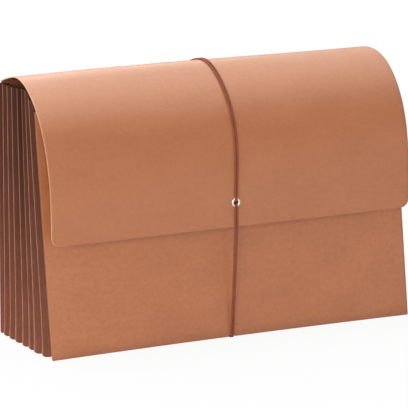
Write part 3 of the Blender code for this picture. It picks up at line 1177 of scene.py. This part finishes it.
    def punch(self, piece: bpy.types.Object) -> None:
        """Cuts the eyelet's round hole through the flap.

        Args:
            piece: The flap's hanging strip.
        """
        centre, (side, up, normal) = self.wrap.eyelet_frame()
        turn = np.linspace(0.0, 2.0 * math.pi, 49)[:-1]
        ring = centre + self.hole_radius * (np.cos(turn)[:, None] * side + np.sin(turn)[:, None] * up)
        points = np.concatenate([ring - normal * self.punch_in, ring + normal * self.punch_out])
        count = len(ring)
        ends = [list(range(count))[::-1], list(range(count, 2 * count))]
        mesh = bpy.data.meshes.new("hole")
        mesh.from_pydata(points.tolist(), [], grid_faces(2, count, closed=True)[:, ::-1].tolist() + ends)
        tool = bpy.data.objects.new("hole", mesh)
        bpy.context.scene.collection.objects.link(tool)
        cut = piece.modifiers.new("hole", "BOOLEAN")
        cut.operation = "DIFFERENCE"
        cut.object = tool
        bpy.context.view_layer.update()
        graph = bpy.context.evaluated_depsgraph_get()
        done = bpy.data.meshes.new_from_object(piece.evaluated_get(graph), depsgraph=graph)
        piece.modifiers.clear()
        piece.data = done
        bpy.data.objects.remove(tool, do_unlink=True)


# Gusset


@dataclass
class Gusset:
    """The pleats at both sides and along the base, in pieces that each turn round one fold.

    Tops, draws and sways are in millimetres, one for each crest from the back board to the front board:
    how high the pleat reaches, how far its top is drawn in and how far its foot stands out. Shade is the
    painted shade of the valleys between the crests, and dusk is painted shade for heights up the leaf, as
    shares of it, darker towards the top where the flap shades the leaves.
    """

    wallet: Wallet
    finishes: Finishes
    leaves: int = 16
    from_back: int = 7
    leaf_width: float = 0.018
    proud: float = 0.003
    gap: float = 0.0021
    lift: float = 0.006
    clear_floor: float = 0.0007
    corner: float = 0.006
    paper: float = 0.00035
    crease: float = 0.0016
    tab: float = 0.014
    crest: float = 0.0010
    tops: tuple[float, ...] = (252.8, 253.2, 253.6, 254.0, 254.6, 255.6, 254.2, 248.0, 235.6)
    # Painted shade of the valleys and up the leaves, kept off the lit crests.
    shade: tuple[float, ...] = (0.0, 0.5, 0.2, 0.25, 0.85, 1.0, 0.25, 0.1, 0.2, 0.0)
    shading: tuple[float, float] = (0.80, 0.36)
    dusk_at: tuple[float, ...] = (0.0, 0.3, 0.5, 0.65, 0.8, 1.0)
    dusk: tuple[float, ...] = (0.0, 0.40, 0.68, 0.83, 0.94, 1.0)
    lit_crest: tuple[float, float] = (0.0003, 0.0012)
    scallop: tuple[float, float] = (0.0034, 0.0055)
    flat_foot: float = 0.0078
    foot_slope: float = 3.5
    foot_share: float = 0.04
    flare: float = 0.0014
    flare_fade: float = 0.07
    crest_fade: float = 0.006
    draw_left: tuple[float, ...] = (0.8, 0.8, 1.2, 1.8, 2.8, 3.4, 2.6, 1.4, 2.6)
    draw_right: tuple[float, ...] = (0.8, 0.8, 0.8, 1.0, 1.4, 2.0, 3.2, 3.4, 2.2)
    sway: tuple[float, ...] = (-1.8, -0.5, 0.0, 0.5, 0.3, 0.0, 1.3, -0.6, -2.6)
    base_inset: float = 0.008
    chart_step: float = 0.05
    off_board: float = 0.0003

    def __post_init__(self) -> None:
        """Angles of the pleats, seen from the apex line."""
        radius = self.wallet.radius
        leaf_angle = 2.0 * math.asin(self.leaf_width / 2.0 / radius)
        self.pitch = (2.0 * self.wallet.lean - self.gap / radius) / self.leaves
        self.inward = math.acos(math.cos(leaf_angle) / math.cos(self.pitch))
        half = radius * math.sin(self.pitch)
        self.slant = math.sqrt(self.leaf_width ** 2 - half ** 2) / self.leaf_width

    def near_fold(self, leaf: int) -> int:
        """The fold that a leaf hangs on, the one towards its board."""
        return leaf - 1 if leaf <= self.from_back else leaf

    def lean_of(self, fold: int) -> float:
        """Angle of a fold from the upright.

        Args:
            fold: Number of the fold, 0 at the back board.

        Returns:
            The angle, positive towards the back.
        """
        if fold == self.from_back:
            return self.pitch
        if fold < self.from_back:
            return self.wallet.lean - fold * self.pitch
        return -self.wallet.lean + (self.leaves - fold) * self.pitch

    def ray(self, fold: int, run: Run) -> Array:
        """Direction from the apex to a fold's foot; odd folds are valleys and lie further in.

        Args:
            fold: Number of the fold, 0 at the back board.
            run: Which gusset.

        Returns:
            For a side, a unit direction. For the base, the fold's point from the apex, over the radius.
        """
        lean = self.lean_of(fold)
        down = np.array([0.0, math.sin(lean), -math.cos(lean)])
        if run is Run.BOTTOM:
            reach = self.wallet.radius - self.lift
            if fold % 2:
                half = reach * math.sin(self.pitch)
                reach = reach * math.cos(self.pitch) - math.sqrt(self.leaf_width ** 2 - half ** 2)
            return down * reach / self.wallet.radius
        if fold % 2 == 0:
            return down
        return math.cos(self.inward) * down + math.sin(self.inward) * np.array([-run.value, 0.0, 0.0])

    def mitre(self, depth: Array) -> Array:
        """How far a leaf stops short of the corner: a rounded crest, then a 45 degree mitre.

        Args:
            depth: Distance inwards from the crest.

        Returns:
            Distance from the corner along the fold.
        """
        r = self.corner
        short = np.clip(r - depth, 0.0, r)
        return np.where(depth < r * (1.0 - math.sqrt(0.5)), r - np.sqrt(r * r - short * short), depth)

    def foot_edge(self, depth: Array) -> Array:
        """Lower edge of a side leaf: a rounded crest, a level stretch, then up into the wallet.

        Args:
            depth: Distance inwards from the crest.

        Returns:
            Height above the floor.
        """
        wide, high = self.scallop
        short = np.clip(1.0 - depth / wide, 0.0, 1.0)
        rounded = high * (1.0 - np.sqrt(1.0 - short * short))
        return rounded + self.foot_slope * np.clip(depth - self.flat_foot, 0.0, None)

    def section(self, leaf: int, run: Run) -> tuple[Array, Array, Array, Array]:
        """The line across one piece: half a leaf, a rounded fold, half a leaf.

        Straight runs join by a quadratic curve that is pulled towards the fold.

        Args:
            leaf: Number of the leaf that hangs on the fold.
            run: Which gusset.

        Returns:
            Directions, depths from the crest, leans, and distances from the fold (the parent's are negative).
        """
        near = self.near_fold(leaf)
        far = leaf if near < leaf else leaf - 1
        other = near - (far - near)
        on_board = other < 0 or other > self.leaves
        fold, ahead = self.ray(near, run), self.ray(far, run)
        share = self.crease / self.leaf_width
        if on_board:
            inner = -fold if run is Run.BOTTOM else np.array([-run.value, 0.0, 0.0])
            behind = fold + unit(inner) * self.leaf_width / self.wallet.radius
            reach = self.tab / self.leaf_width
        else:
            behind = self.ray(other, run)
            reach = 0.5
        end = 1.0 if leaf in (self.from_back, self.from_back + 1) else 0.5
        before = -np.linspace(reach, share, 7)
        after = np.linspace(share, end, 7 if end < 1.0 else 12)
        t = np.linspace(0.0, 1.0, 9)[1:-1]
        across = np.concatenate([before, share * (2.0 * t - 1.0), after])
        way = np.where(across[:, None] < 0.0, behind - fold, ahead - fold)
        line = fold + np.abs(across)[:, None] * way
        first, last = fold + share * (behind - fold), fold + share * (ahead - fold)
        turn = slice(len(before), len(before) + len(t))
        t = t[:, None]
        line[turn] = (1.0 - t) ** 2 * first + 2.0 * t * (1.0 - t) * fold + t * t * last
        away = np.abs(across) * self.leaf_width
        slant = np.where((across < 0.0) & on_board, 1.0, self.slant)
        depth = (away if near % 2 == 0 else self.leaf_width - away) * slant
        lean = np.interp(across, [-1.0, 0.0, 1.0], [
            self.lean_of(near if on_board else other), self.lean_of(near), self.lean_of(far)])
        return line, depth, lean, across * self.leaf_width

    def side_grid(self, leaf: int, run: Run) -> tuple[Array, Array, Array]:
        """Grid of a side piece: each direction runs from the leaf's foot up to the sloping top edge.

        The crest is then moved along the width by the sway at the foot, the draw at the top and the flare.

        Args:
            leaf: Number of the leaf.
            run: Left or right.

        Returns:
            Points (rows, columns, 3), their chart, and the painted shade there.
        """
        wallet = self.wallet
        line, depth, lean, across = self.section(leaf, run)
        floor = wallet.radius - (wallet.apex[2] - self.clear_floor) / np.cos(lean)
        low = floor + self.foot_edge(depth)
        pleats = self.leaves // 2
        crests = np.arange(pleats + 1)
        folds = np.clip((wallet.lean - lean) / (2.0 * wallet.lean), 0.0, 1.0) * pleats
        top = MILLIMETRE * np.interp(folds, crests, self.tops)
        foot = self.foot_share
        rise = np.concatenate([np.linspace(0.0, foot, 4)[:-1], np.linspace(foot, 1.0, 16)])[:, None]
        up = low + rise * (top - low)
        apex = wallet.apex + np.array([run.value * (wallet.width / 2.0 + self.proud), 0.0, 0.0])
        points = apex + (wallet.radius - up)[..., None] * line
        drawn = self.draw_left if run is Run.LEFT else self.draw_right
        sway, draw = (MILLIMETRE * np.interp(folds, crests, row) for row in (self.sway, drawn))
        inside = ease(3.0 * folds) * ease(3.0 * (pleats - folds))
        flare = self.flare * np.exp(-rise / self.flare_fade) * inside
        out = (sway * (1.0 - rise) - draw * rise ** 1.5 + flare) * np.exp(-depth / self.crest_fade)
        points[..., 0] += run.value * out
        # Painted shade: darker up the leaf where the flap shades it and in the darkest valleys, fading off
        # near the lit crest.
        dim = np.interp(rise, self.dusk_at, self.dusk)
        even, more = self.shading
        shade = dim * (even + more * np.interp(folds, np.arange(pleats + 2) - 0.5, self.shade))
        first, span = self.lit_crest
        shade = shade * ease((depth - first) / span)
        chart = np.stack([np.broadcast_to(across + self.chart_step * leaf, up.shape), up], axis=-1)
        return points, chart, shade

    def base_grid(self, leaf: int) -> tuple[Array, Array, Array]:
        """Grid of a base piece: each point of the section runs along the width between its two mitres.

        Args:
            leaf: Number of the leaf.

        Returns:
            Points (rows, columns, 3), their chart, and the painted shade there, none on the base.
        """
        wallet = self.wallet
        line, depth, _, across = self.section(leaf, Run.BOTTOM)
        half = wallet.width / 2.0 + self.proud - self.base_inset - self.mitre(depth)
        along = np.linspace(-1.0, 1.0, 17)[:, None] * half
        points = np.broadcast_to(wallet.apex + wallet.radius * line, (*along.shape, 3)).copy()
        points[..., 0] += along
        chart = np.stack([np.broadcast_to(across + self.chart_step * leaf, along.shape), along], axis=-1)
        return points, chart, np.zeros(along.shape)

    def piece(self, leaf: int, run: Run) -> bpy.types.Object:
        """One fold with half a leaf on each side, given the paper's thickness along the grid's normals.

        Args:
            leaf: Number of the leaf that hangs on the fold.
            run: Which gusset.

        Returns:
            The piece.
        """
        label = run.name.lower()
        points, chart, shade = self.base_grid(leaf) if run is Run.BOTTOM else self.side_grid(leaf, run)
        rows, columns = points.shape[:2]
        normals = unit(np.cross(np.gradient(points, axis=0), np.gradient(points, axis=1)))
        away = self.section(leaf, run)[3]
        # Crests are marked pale, partly rubbing and partly a painted highlight; the rest of the leaf carries
        # the painted shade.
        crest = np.exp(-(away / self.crest) ** 2) if self.near_fold(leaf) % 2 == 0 else np.zeros(columns)
        wear = (crest - shade * (1.0 - crest)).ravel()
        made = Skin()
        upper = made.add_points(points + normals * self.paper / 2.0, wear)
        lower = made.add_points(points - normals * self.paper / 2.0, wear)
        for start, order in ((upper, 1), (lower, -1)):
            quads = grid_faces(rows, columns, start)
            made.add_quads(quads[:, ::order], corner_chart(quads, chart, start)[:, ::order])
        row, column = border(rows, columns)
        ring = row * columns + column
        ahead = np.roll(ring, -1)
        rim = np.stack([ring, ahead, ahead + lower, ring + lower], axis=1)
        made.add_quads(rim, corner_chart(rim % (rows * columns), chart))
        piece = made.build(f"{label}_pleat_{leaf:02d}", [self.finishes.gusset], 50.0)
        return self.hang(stand_for(piece, "gusset", f"{label}_leaf_{leaf:02d}"), leaf, run)

    def hang(self, piece: bpy.types.Object, leaf: int, run: Run) -> bpy.types.Object:
        """Bakes the transform of a piece whose fold joins two bodies into its mesh.

        Args:
            piece: The piece.
            leaf: Number of its leaf.
            run: Which gusset.

        Returns:
            The piece.
        """
        joint = JOINTS[f"{run.name.lower()}_fold_{leaf:02d}"]
        near = self.near_fold(leaf)
        lean = self.lean_of(near)
        forward = -1.0 if leaf <= self.from_back else 1.0
        across = np.array([0.0, math.cos(lean), math.sin(lean)]) * forward
        reach = self.crease * math.sqrt(1.0 - self.slant ** 2)
        at = np.array(joint["pos_m"])
        if near in (0, self.leaves):
            start, end = at + across * self.off_board, at + across * (self.off_board + 2.0 * reach)
        else:
            start, end = at - across * reach, at + across * reach
        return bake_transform(piece)

    def build(self) -> list[bpy.types.Object]:
        """Makes every fold of the three gussets."""
        return [self.piece(leaf, run) for run in Run for leaf in range(1, self.leaves + 1)]


# Eyelet and elastic


@dataclass
class Eyelet:
    """A turned eyelet with a rolled lip in front and a flat flange behind."""

    wrap: Wrap
    finishes: Finishes
    hole: float = 0.0024
    barrel: float = 0.0030
    rim: float = 0.0045
    lip_foot: float = 0.00012
    lip_rise: float = 0.00105
    lip_round: float = 0.8
    seat: float = 0.00002

    def profile(self) -> Array:
        """The section: up the bore, over a half-round lip, down to the flap and behind it.

        Returns:
            Radius and height of each point, in order.
        """
        middle = (self.hole + self.rim) / 2.0
        half = (self.rim - self.hole) / 2.0
        turn = np.linspace(math.pi, 0.0, 13)
        height = self.lip_foot + self.lip_rise * np.sin(turn) ** self.lip_round
        lip = np.stack([middle + half * np.cos(turn), height], axis=1)
        back = -self.wrap.wallet.board
        behind = np.array([
            (self.rim - 0.0001, self.seat), (self.barrel, self.seat), (self.barrel, back - self.seat),
            (self.rim - 0.0003, back - self.seat), (self.rim - 0.0002, back - 0.0002),
            (self.rim - 0.0004, back - 0.00042), (self.hole + 0.0004, back - 0.0006),
            (self.hole, back - 0.00045)])
        return np.concatenate([lip, behind])

    def build(self) -> bpy.types.Object:
        """Turns the profile round the eyelet's axis.

        Returns:
            The piece.
        """
        profile = self.profile()
        centre, (side, up, normal) = self.wrap.eyelet_frame()
        turn = np.linspace(0.0, 2.0 * math.pi, 57)[:-1]
        spoke = np.cos(turn)[:, None] * side + np.sin(turn)[:, None] * up
        points = centre + profile[None, :, :1] * spoke[:, None, :] + profile[None, :, 1:] * normal
        made = Skin()
        made.add_points(points)
        count = len(profile)
        number = np.arange(len(turn) * count).reshape(len(turn), count)
        ahead, right = np.roll(number, -1, axis=0), np.roll(number, -1, axis=1)
        corners = (number, right, np.roll(ahead, -1, axis=1), ahead)
        quads = np.stack([corner.ravel() for corner in corners], axis=1)
        grid = np.meshgrid(np.linspace(0, 6, len(turn)), np.linspace(0, 3, count), indexing="ij")
        made.add_quads(quads, corner_chart(quads, np.stack(grid, axis=-1)))
        piece = made.build("eyelet_ring", [self.finishes.nickel], 60.0)
        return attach(stand_for(piece, "nickel", "eyelet"), "flap_front")


@dataclass
class Elastic:
    """The doubled elastic cord: down the back, over the flap, through the eyelet, and on to the base.

    Where the drift starts and the parting ends are shares of the roll; the gathering is in lengths from
    the crease.
    """

    wallet: Wallet
    wrap: Wrap
    boards: Boards
    finishes: Finishes
    sides: int = 12
    end_shape: tuple[float, float] = (0.02, 0.75)
    drift: float = 0.0047
    drift_from: float = 0.58
    part: float = 0.0010
    part_until: float = 0.31
    spacing: float = 0.00135
    gather_from: float = 0.15
    gather_over: float = 0.045
    foot: float = 0.0035
    foot_pair: float = 0.0009
    spread_below: float = 0.0075
    step: float = 0.0015
    short_run: float = 0.03
    short_steps: int = 24
    eyelet_reach: float = 0.0092
    hole_step: float = 0.00095
    lip: float = 0.0012
    floor_gap: float = 0.0001
    knot_depth: float = 0.0042
    knot_size: Place = (0.00105, 0.00095, 0.0011)

    def strand_x(self, at: Array, side: int) -> Array:
        """Sideways place of a strand along the back board and the flap.

        On the back the pair spreads and drifts from the foot to the crease; on the flap it closes
        again over the crown and drifts to the eyelet.

        Args:
            at: Lengths from the crease.
            side: -1 for the left strand, 1 for the right one.

        Returns:
            X of the strand.
        """
        wallet, wrap = self.wallet, self.wrap
        roll = wrap.roll_to_depth * wallet.depth
        behind = at < 0.0
        up = ease((at + wallet.back_height - self.foot) / (wallet.back_height - self.spread_below))
        start = self.drift_from * roll
        down = ease((at - start) / (wrap.eyelet_at - start))
        high = wrap.eyelet_x + self.drift
        middle = np.where(behind, wallet.foot_x + (high - wallet.foot_x) * up, high - self.drift * down)
        parted = np.where(behind, up, 1.0 - ease(at / (self.part_until * roll)))
        loose = np.where(behind, up, 1.0 - ease((at - self.gather_from) / self.gather_over))
        apart = wallet.pair + (self.spacing - wallet.pair) * loose
        return middle + side * (apart + self.part * parted)

    def lay(self, at: Array, side: int) -> Array:
        """Points of a strand on the back board or the flap, at lengths from the crease."""
        points, normals = self.wrap.place(at, self.strand_x(at, side))
        return points + normals * self.wallet.cord_lift

    def on_wrap(self, low: float, high: float, side: int) -> Array:
        """A strand that lies on the back board or the flap between two lengths."""
        count = self.short_steps if high - low < self.short_run else math.ceil((high - low) / self.step)
        return self.lay(np.linspace(low, high, count + 1), side)

    def through(self, way: int, side: int) -> tuple[Array, Array]:
        """A strand at the eyelet: off the flap, over the lip and into the hole, on a smooth curve.

        Args:
            way: -1 above the eyelet, 1 below it.
            side: -1 for the left strand, 1 for the right one.

        Returns:
            Points from the flap to behind it, and the stretched cord's thickness there, 1 for slack.
        """
        r, lift, pair = self.wallet.cord, self.wallet.cord_lift, self.wallet.pair
        marks = np.array([
            (self.eyelet_reach, lift, pair, 1.0), (0.0072, lift + 0.0002, pair, 0.97),
            (0.0054, lift + 0.0006, 0.00090, 0.88), (0.0040, self.lip + 0.8 * r, 0.00068, 0.76),
            (0.0028, self.lip + 0.7 * r, 0.00060, 0.70), (0.0018, self.lip + 0.0002, 0.00060, 0.70),
            (0.0011, 0.0002, 0.00062, 0.70), (self.hole_step, -0.0010, 0.00066, 0.72),
            (self.hole_step, -0.0022, self.hole_step, 0.8)])
        along, height, apart, thin = smooth_line(marks, 6).T
        wrap = self.wrap
        points, normals = wrap.place(wrap.eyelet_at + way * along, wrap.eyelet_x + side * apart)
        return points + normals * height[:, None], thin

    def tube(self, made: Skin, path: Array, guide: Array | Place = (1.0, 0.0, 0.0),
             thin: Array | float = 1.0) -> None:
        """Adds a round cord along a path, with closed ends.

        Each ring is the path's point plus r(cos u * a + sin u * b), where a is the guide made square
        to the path and b completes the frame.

        Args:
            made: The skin that takes it.
            path: Points of the centre line.
            guide: A direction, or one for each point, that is never along the path.
            thin: Thickness of the cord as a share of its slack one, for all or for each point.
        """
        radius = self.wallet.cord
        tangent = unit(np.gradient(path, axis=0))
        guide = np.broadcast_to(np.asarray(guide, float), path.shape)
        a = unit(guide - np.sum(guide * tangent, axis=1, keepdims=True) * tangent)
        b = np.cross(tangent, a)
        wide = np.broadcast_to(thin, (len(path),))
        tip = np.array(self.end_shape)
        shrink = np.concatenate([wide[0] * tip, wide, wide[-1] * tip[::-1]])
        with_ends = np.r_[0, 0, np.arange(len(path)), -1, -1]
        centre = path[with_ends]
        around = np.linspace(0.0, 2.0 * math.pi, self.sides + 1)[:-1, None]
        spoke = np.cos(around) * a[with_ends, None, :] + np.sin(around) * b[with_ends, None, :]
        start = made.add_points(centre[:, None, :] + radius * shrink[:, None, None] * spoke)
        rows = len(centre)
        quads = grid_faces(rows, self.sides, start, closed=True)
        length = np.concatenate([[0.0], np.cumsum(np.linalg.norm(np.diff(centre, axis=0), axis=1))])
        turn = np.arange(self.sides + 1) / self.sides
        chart = np.stack(np.meshgrid(turn, length / (2.0 * math.pi * radius)), axis=-1)
        made.add_quads(quads, corner_chart(grid_faces(rows, self.sides + 1), chart))
        for ring, order in ((start, 1), (start + (rows - 1) * self.sides, -1)):
            k = np.arange(self.sides // 2 - 1)
            cap = ring + np.stack([k, k + 1, self.sides - 2 - k, self.sides - 1 - k], axis=1)
            made.add_quads(cap[:, ::order], np.zeros((len(cap), 4, 2)))

    def dress(self, made: Skin, name: str, *nodes: str) -> bpy.types.Object:
        """Builds a run of the cord and hides the nodes that it stands for."""
        return stand_for(made.build(name, [self.finishes.elastic], 70.0), "elastic", *nodes)

    def pair(self, name: str, low: float, high: float, *nodes: str) -> bpy.types.Object:
        """Both strands between two lengths on the back board or the flap.

        Args:
            name: Name of the run.
            low: First length from the crease.
            high: Last length.
            nodes: Nodes that it stands for.

        Returns:
            The piece.
        """
        made = Skin()
        for side in (-1, 1):
            self.tube(made, self.on_wrap(low, high, side))
        return self.dress(made, name, *nodes)

    def foot_point(self, sign: int, side: int) -> Array:
        """Where a strand turns under a board.

        Args:
            sign: 1 for the back board, -1 for the front board.
            side: -1 for the left strand, 1 for the right one, 0 for the middle.

        Returns:
            The point.
        """
        points, normals = self.wallet.board_line(sign, np.array([self.foot]))
        point = points[0] + normals[0] * self.wallet.cord_lift
        point[0] = self.wallet.foot_x + side * (self.wallet.pair if sign > 0 else self.foot_pair)
        return point

    def foot_turn(self, sign: int, side: int) -> Array:
        """A strand round a board's foot, from the outer face to the floor inside, on a smooth curve.

        Args:
            sign: 1 for the back board, -1 for the front board.
            side: -1 for the left strand, 1 for the right one.

        Returns:
            Points of the strand.
        """
        foot = self.foot_point(sign, side)
        floor = self.wallet.cord + self.floor_gap
        inward_and_height = ((0.0001, 0.0022), (0.0012, floor + 0.0002), (0.0034, floor))
        turn = [(foot[0], foot[1] - sign * inward, height) for inward, height in inward_and_height]
        return smooth_line(np.array([tuple(foot), *turn]), 5)

    def build(self) -> list[bpy.types.Object]:
        """Makes every run of the cord and the knot.

        Returns:
            The pieces.
        """
        boards, bend = self.boards, self.wrap.bend
        low = self.foot - self.wallet.back_height
        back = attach(self.pair("elastic_back_run", low, boards.crease_seam, "elastic_back"), "back")
        crease = bend(self.pair("elastic_crease_run", boards.crease_seam, boards.spine_seam), Bend.CREASE)
        top = self.pair("elastic_top_run", boards.spine_seam, boards.upper_seam, "elastic_upper")
        bend(top, Bend.TOP)
        roll = bend(self.pair("elastic_roll_run", boards.upper_seam, boards.lower_seam), Bend.ROLL)
        return [back, crease, top, roll, self.fall(), self.lower(), self.under(), self.knot()]

    def fall(self) -> bpy.types.Object:
        """The strands on the hanging strip: into the eyelet from above, and out of it to the flap's edge.

        Returns:
            The piece.
        """
        made = Skin()
        for side in (-1, 1):
            for way, far in ((-1, self.boards.lower_seam), (1, self.wrap.length)):
                low, high = sorted((far, self.wrap.eyelet_at + way * self.eyelet_reach))
                reach = self.on_wrap(low, high, side)[::-way][:-1]
                path, thin = self.through(way, side)
                path = np.concatenate([reach, path])[::-way]
                self.tube(made, path, thin=np.concatenate([np.ones(len(reach)), thin])[::-way])
        return self.wrap.bend(self.dress(made, "elastic_fall_run"), Bend.FALL)

    def lower(self) -> bpy.types.Object:
        """The taut strands from the flap's edge to the front board's foot.

        Returns:
            The piece.
        """
        made = Skin()
        for side in (-1, 1):
            high = self.lay(np.array([self.wrap.length]), side)[0]
            self.tube(made, np.linspace(high, self.foot_point(-1, side), 50))
        piece = self.dress(made, "elastic_lower_run", "elastic_lower")
        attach(piece, "elastic_lower")
        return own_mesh(piece, "expand", axis=(0, 0, 1), anchor=tuple(self.foot_point(-1, 0)), keep=0.435)

    def under(self) -> bpy.types.Object:
        """The strands round the front board's foot, along the floor and up behind the back board's foot.

        Returns:
            The piece.
        """
        made = Skin()
        for side in (-1, 1):
            turn = self.foot_turn(-1, side)
            rise = self.foot_turn(1, side)[::-1]
            middle = np.linspace(turn[-1], rise[0], 60)[1:-1]
            self.tube(made, np.concatenate([turn, middle, rise]))
        piece = self.dress(made, "elastic_under_run", "elastic_under")
        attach(piece, "back")
        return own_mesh(piece, "expand", axis=(0, 1, 0), anchor=tuple(self.foot_point(1, 0)), keep=0.1374)

    def knot(self) -> bpy.types.Object:
        """The overhand knot behind the eyelet, a trefoil pulled flat, with two short ends.

        The trefoil is (sin t + 2 sin 2t, cos t - 2 cos 2t, -sin 3t), scaled.

        Returns:
            The piece.
        """
        made = Skin()
        centre, axes = self.wrap.eyelet_frame()
        normal = axes[2]
        centre = centre - normal * self.knot_depth
        t = np.linspace(0.25, 2.0 * math.pi - 0.15, 90)
        wide, tall = np.sin(t) + 2.0 * np.sin(2.0 * t), np.cos(t) - 2.0 * np.cos(2.0 * t)
        shape = np.stack([wide, tall, -np.sin(3.0 * t)], axis=1) * self.knot_size
        path = centre + shape @ axes
        radial = path - centre
        flat = radial - np.sum(radial * normal, axis=1, keepdims=True) * normal
        self.tube(made, path, flat + normal * 0.002)
        tail = np.array([(0.0009, -0.0018, -0.0002), (0.0016, -0.0040, -0.0006),
                         (0.0024, -0.0062, -0.0006), (0.0038, -0.0086, -0.0002)])
        for hand in (-1, 1):
            self.tube(made, centre + smooth_line(tail * [hand, 1, 1], 6) @ axes)
        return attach(self.dress(made, "elastic_knot_tied", "elastic_knot"), "flap_front")


# Stage


@dataclass
class Studio:
    """Pale floor, soft lamps and the photograph's camera.

    Angles are in degrees. The focal length, the centre and the frame's size are in pixels.
    """

    wallet: Wallet
    azimuth: float = -24.606
    elevation: float = 10.676
    roll: float = -1.446
    distance: float = 2.9928
    focal: float = 3052.7
    centre: tuple[float, float] = (202.245, 197.435)
    frame_size: float = 408.0
    target_height: float = 0.127
    sensor: float = 36.0
    lamp_height: float = 0.13
    floor_half: float = 6.0
    floor_points: int = 5
    glow: float = 0.91
    glow_from: float = 0.3
    glow_gain: float = 0.35
    ambient: float = 0.54

    def build(self) -> None:
        """Sets the stage."""
        self.camera()
        self.floor()
        self.world()
        self.card("front_card", ((-3.0, -3.6, 1.1), (3.0, -3.6, 7.0)), 0.0, True)
        self.card("back_card", ((-3.0, 3.4, 0.1), (3.0, 3.4, 1.4)), 0.0, False)
        self.card("top_card", ((-1.2, -1.3, 2.6), (1.9, 2.4, 2.6)), 2.7, False)
        self.card("crown_card", ((-1.5, 3.4, 1.35), (1.9, 3.4, 4.2)), 4.2, False)
        self.lamp("key", (-1.6, -2.6, 0.75), 1.5, 36.5)
        self.lamp("fill", (-2.2, -1.3, 0.80), 1.5, 8.0)
        self.lamp("top", (-0.6, 0.3, 2.3), 1.8, 27.0)
        self.lamp("back", (-0.5, 1.3, 2.0), 1.6, 11.0)
        bpy.context.scene.view_settings.view_transform = "Standard"

    def camera(self) -> None:
        """A long lens, placed by its angles round the wallet's middle."""
        a, e, r = (math.radians(x) for x in (self.azimuth, self.elevation, self.roll))
        back = Vector((math.sin(a) * math.cos(e), -math.cos(a) * math.cos(e), math.sin(e)))
        right = (-back).cross(Vector((0, 0, 1))).normalized()
        up = right.cross(-back).normalized()
        turned = (math.cos(r) * right + math.sin(r) * up, math.cos(r) * up - math.sin(r) * right, back)
        data = bpy.data.cameras.new("camera")
        data.sensor_width = self.sensor
        data.lens = self.focal / self.frame_size * self.sensor
        data.shift_x = (self.frame_size / 2 - self.centre[0]) / self.frame_size
        data.shift_y = (self.centre[1] - self.frame_size / 2) / self.frame_size
        data.clip_end = 50.0
        camera = bpy.data.objects.new("camera", data)
        target = Vector((0.0, self.wallet.apex[1], self.target_height))
        placed = Matrix(turned).transposed().to_4x4()
        placed.translation = target + back * self.distance
        camera.matrix_world = placed
        bpy.context.scene.collection.objects.link(camera)
        bpy.context.scene.camera = camera

    def floor(self) -> None:
        """A wide pale floor that shows white and keeps the shadow."""
        side = np.linspace(-self.floor_half, self.floor_half, self.floor_points)
        x, y = np.meshgrid(side, side)
        made = Skin()
        made.add_points(np.stack([x, y, np.zeros_like(x)], axis=-1))
        quads = grid_faces(self.floor_points, self.floor_points)
        made.add_quads(quads, corner_chart(quads, np.stack([x, y], axis=-1)))
        g = Graph("pale_floor")
        grain = g.noise(EVEN, 400.0)
        colour = g.mix(0.5 + grain * 0.4, (0.86, 0.86, 0.86), (0.90, 0.90, 0.90))
        plain = g.node("ShaderNodeBsdfDiffuse", {}, {"Color": colour})
        glow = g.node("ShaderNodeEmission", {}, {"Strength": 1.0})
        away = g.node("ShaderNodeVectorMath", {"operation": "LENGTH"}, {0: g.chart()}, "Value")
        shine = (self.glow + (away - self.glow_from).most(0.0) * self.glow_gain).least(1.0)
        g.node_output(g.node("ShaderNodeMixShader", {}, {0: g.seen() * shine, 1: plain, 2: glow}))
        floor = made.build("floor", [g.material])

    def card(self, name: str, corners: tuple[Place, Place], shine: float, shading: bool) -> None:
        """A flat card, upright or level, that the camera doesn't see.

        Args:
            name: Its name.
            corners: Two opposite corners.
            shine: Its brightness, 0 for a black card.
            shading: Whether it acts on soft light too, and not only on mirror light.
        """
        low, high = np.array(corners)
        share = np.array([[(0, 0, 0), (1, 0, 0)], [(0, 1, 1), (1, 1, 1)]])
        made = Skin()
        made.add_points(low + (high - low) * share)
        made.add_quads(grid_faces(2, 2), np.zeros((1, 4, 2)))
        g = Graph(name)
        g.node_output(g.node("ShaderNodeEmission", {}, {"Color": (1.0, 0.99, 0.90, 1.0), "Strength": shine}))
        card = made.build(name, [g.material])
        card.visible_camera = False
        card.visible_diffuse = shading
        card.visible_shadow = False

    def world(self) -> None:
        """A soft white surround; the camera and mirrors see it white."""
        world = bpy.data.worlds.new("surround")
        bpy.context.scene.world = world
        g = Graph("surround", world)
        light, white = (
            g.node("ShaderNodeBackground", {}, {"Color": (1.0, 1.0, 1.0, 1.0), "Strength": strength})
            for strength in (self.ambient, 1.0))
        g.node_output(g.node("ShaderNodeMixShader", {}, {0: g.seen(), 1: light, 2: white}))

    def lamp(self, name: str, place: Place, size: float, power: float) -> None:
        """A square soft lamp that faces the wallet.

        Args:
            name: Its name.
            place: Where it stands.
            size: Length of its side.
            power: Watts.
        """
        data = bpy.data.lights.new(name, "AREA")
        data.size = size
        data.energy = power
        lamp = bpy.data.objects.new(name, data)
        lamp.location = place
        lamp.rotation_mode = "QUATERNION"
        aim = Vector((0.0, 0.0, self.lamp_height)) - Vector(place)
        lamp.rotation_quaternion = aim.to_track_quat("-Z", "Y")
        bpy.context.scene.collection.objects.link(lamp)


def main() -> None:
    """Builds the stage and the wallet, and reports each piece."""
    logging.basicConfig(level=logging.INFO, format="%(name)s: %(message)s")
    wallet = Wallet()
    finishes = Finishes()
    wrap = Wrap(wallet)
    Studio(wallet).build()
    boards = Boards(wallet, wrap, finishes)
    pieces = boards.build()
    pieces += Gusset(wallet, finishes).build()
    pieces.append(Eyelet(wrap, finishes).build())
    pieces += Elastic(wallet, wrap, boards, finishes).build()
    for piece in pieces:
        LOG.info("%s: %d points", piece.name, len(piece.data.vertices))


if __name__ == "__main__":
    main()
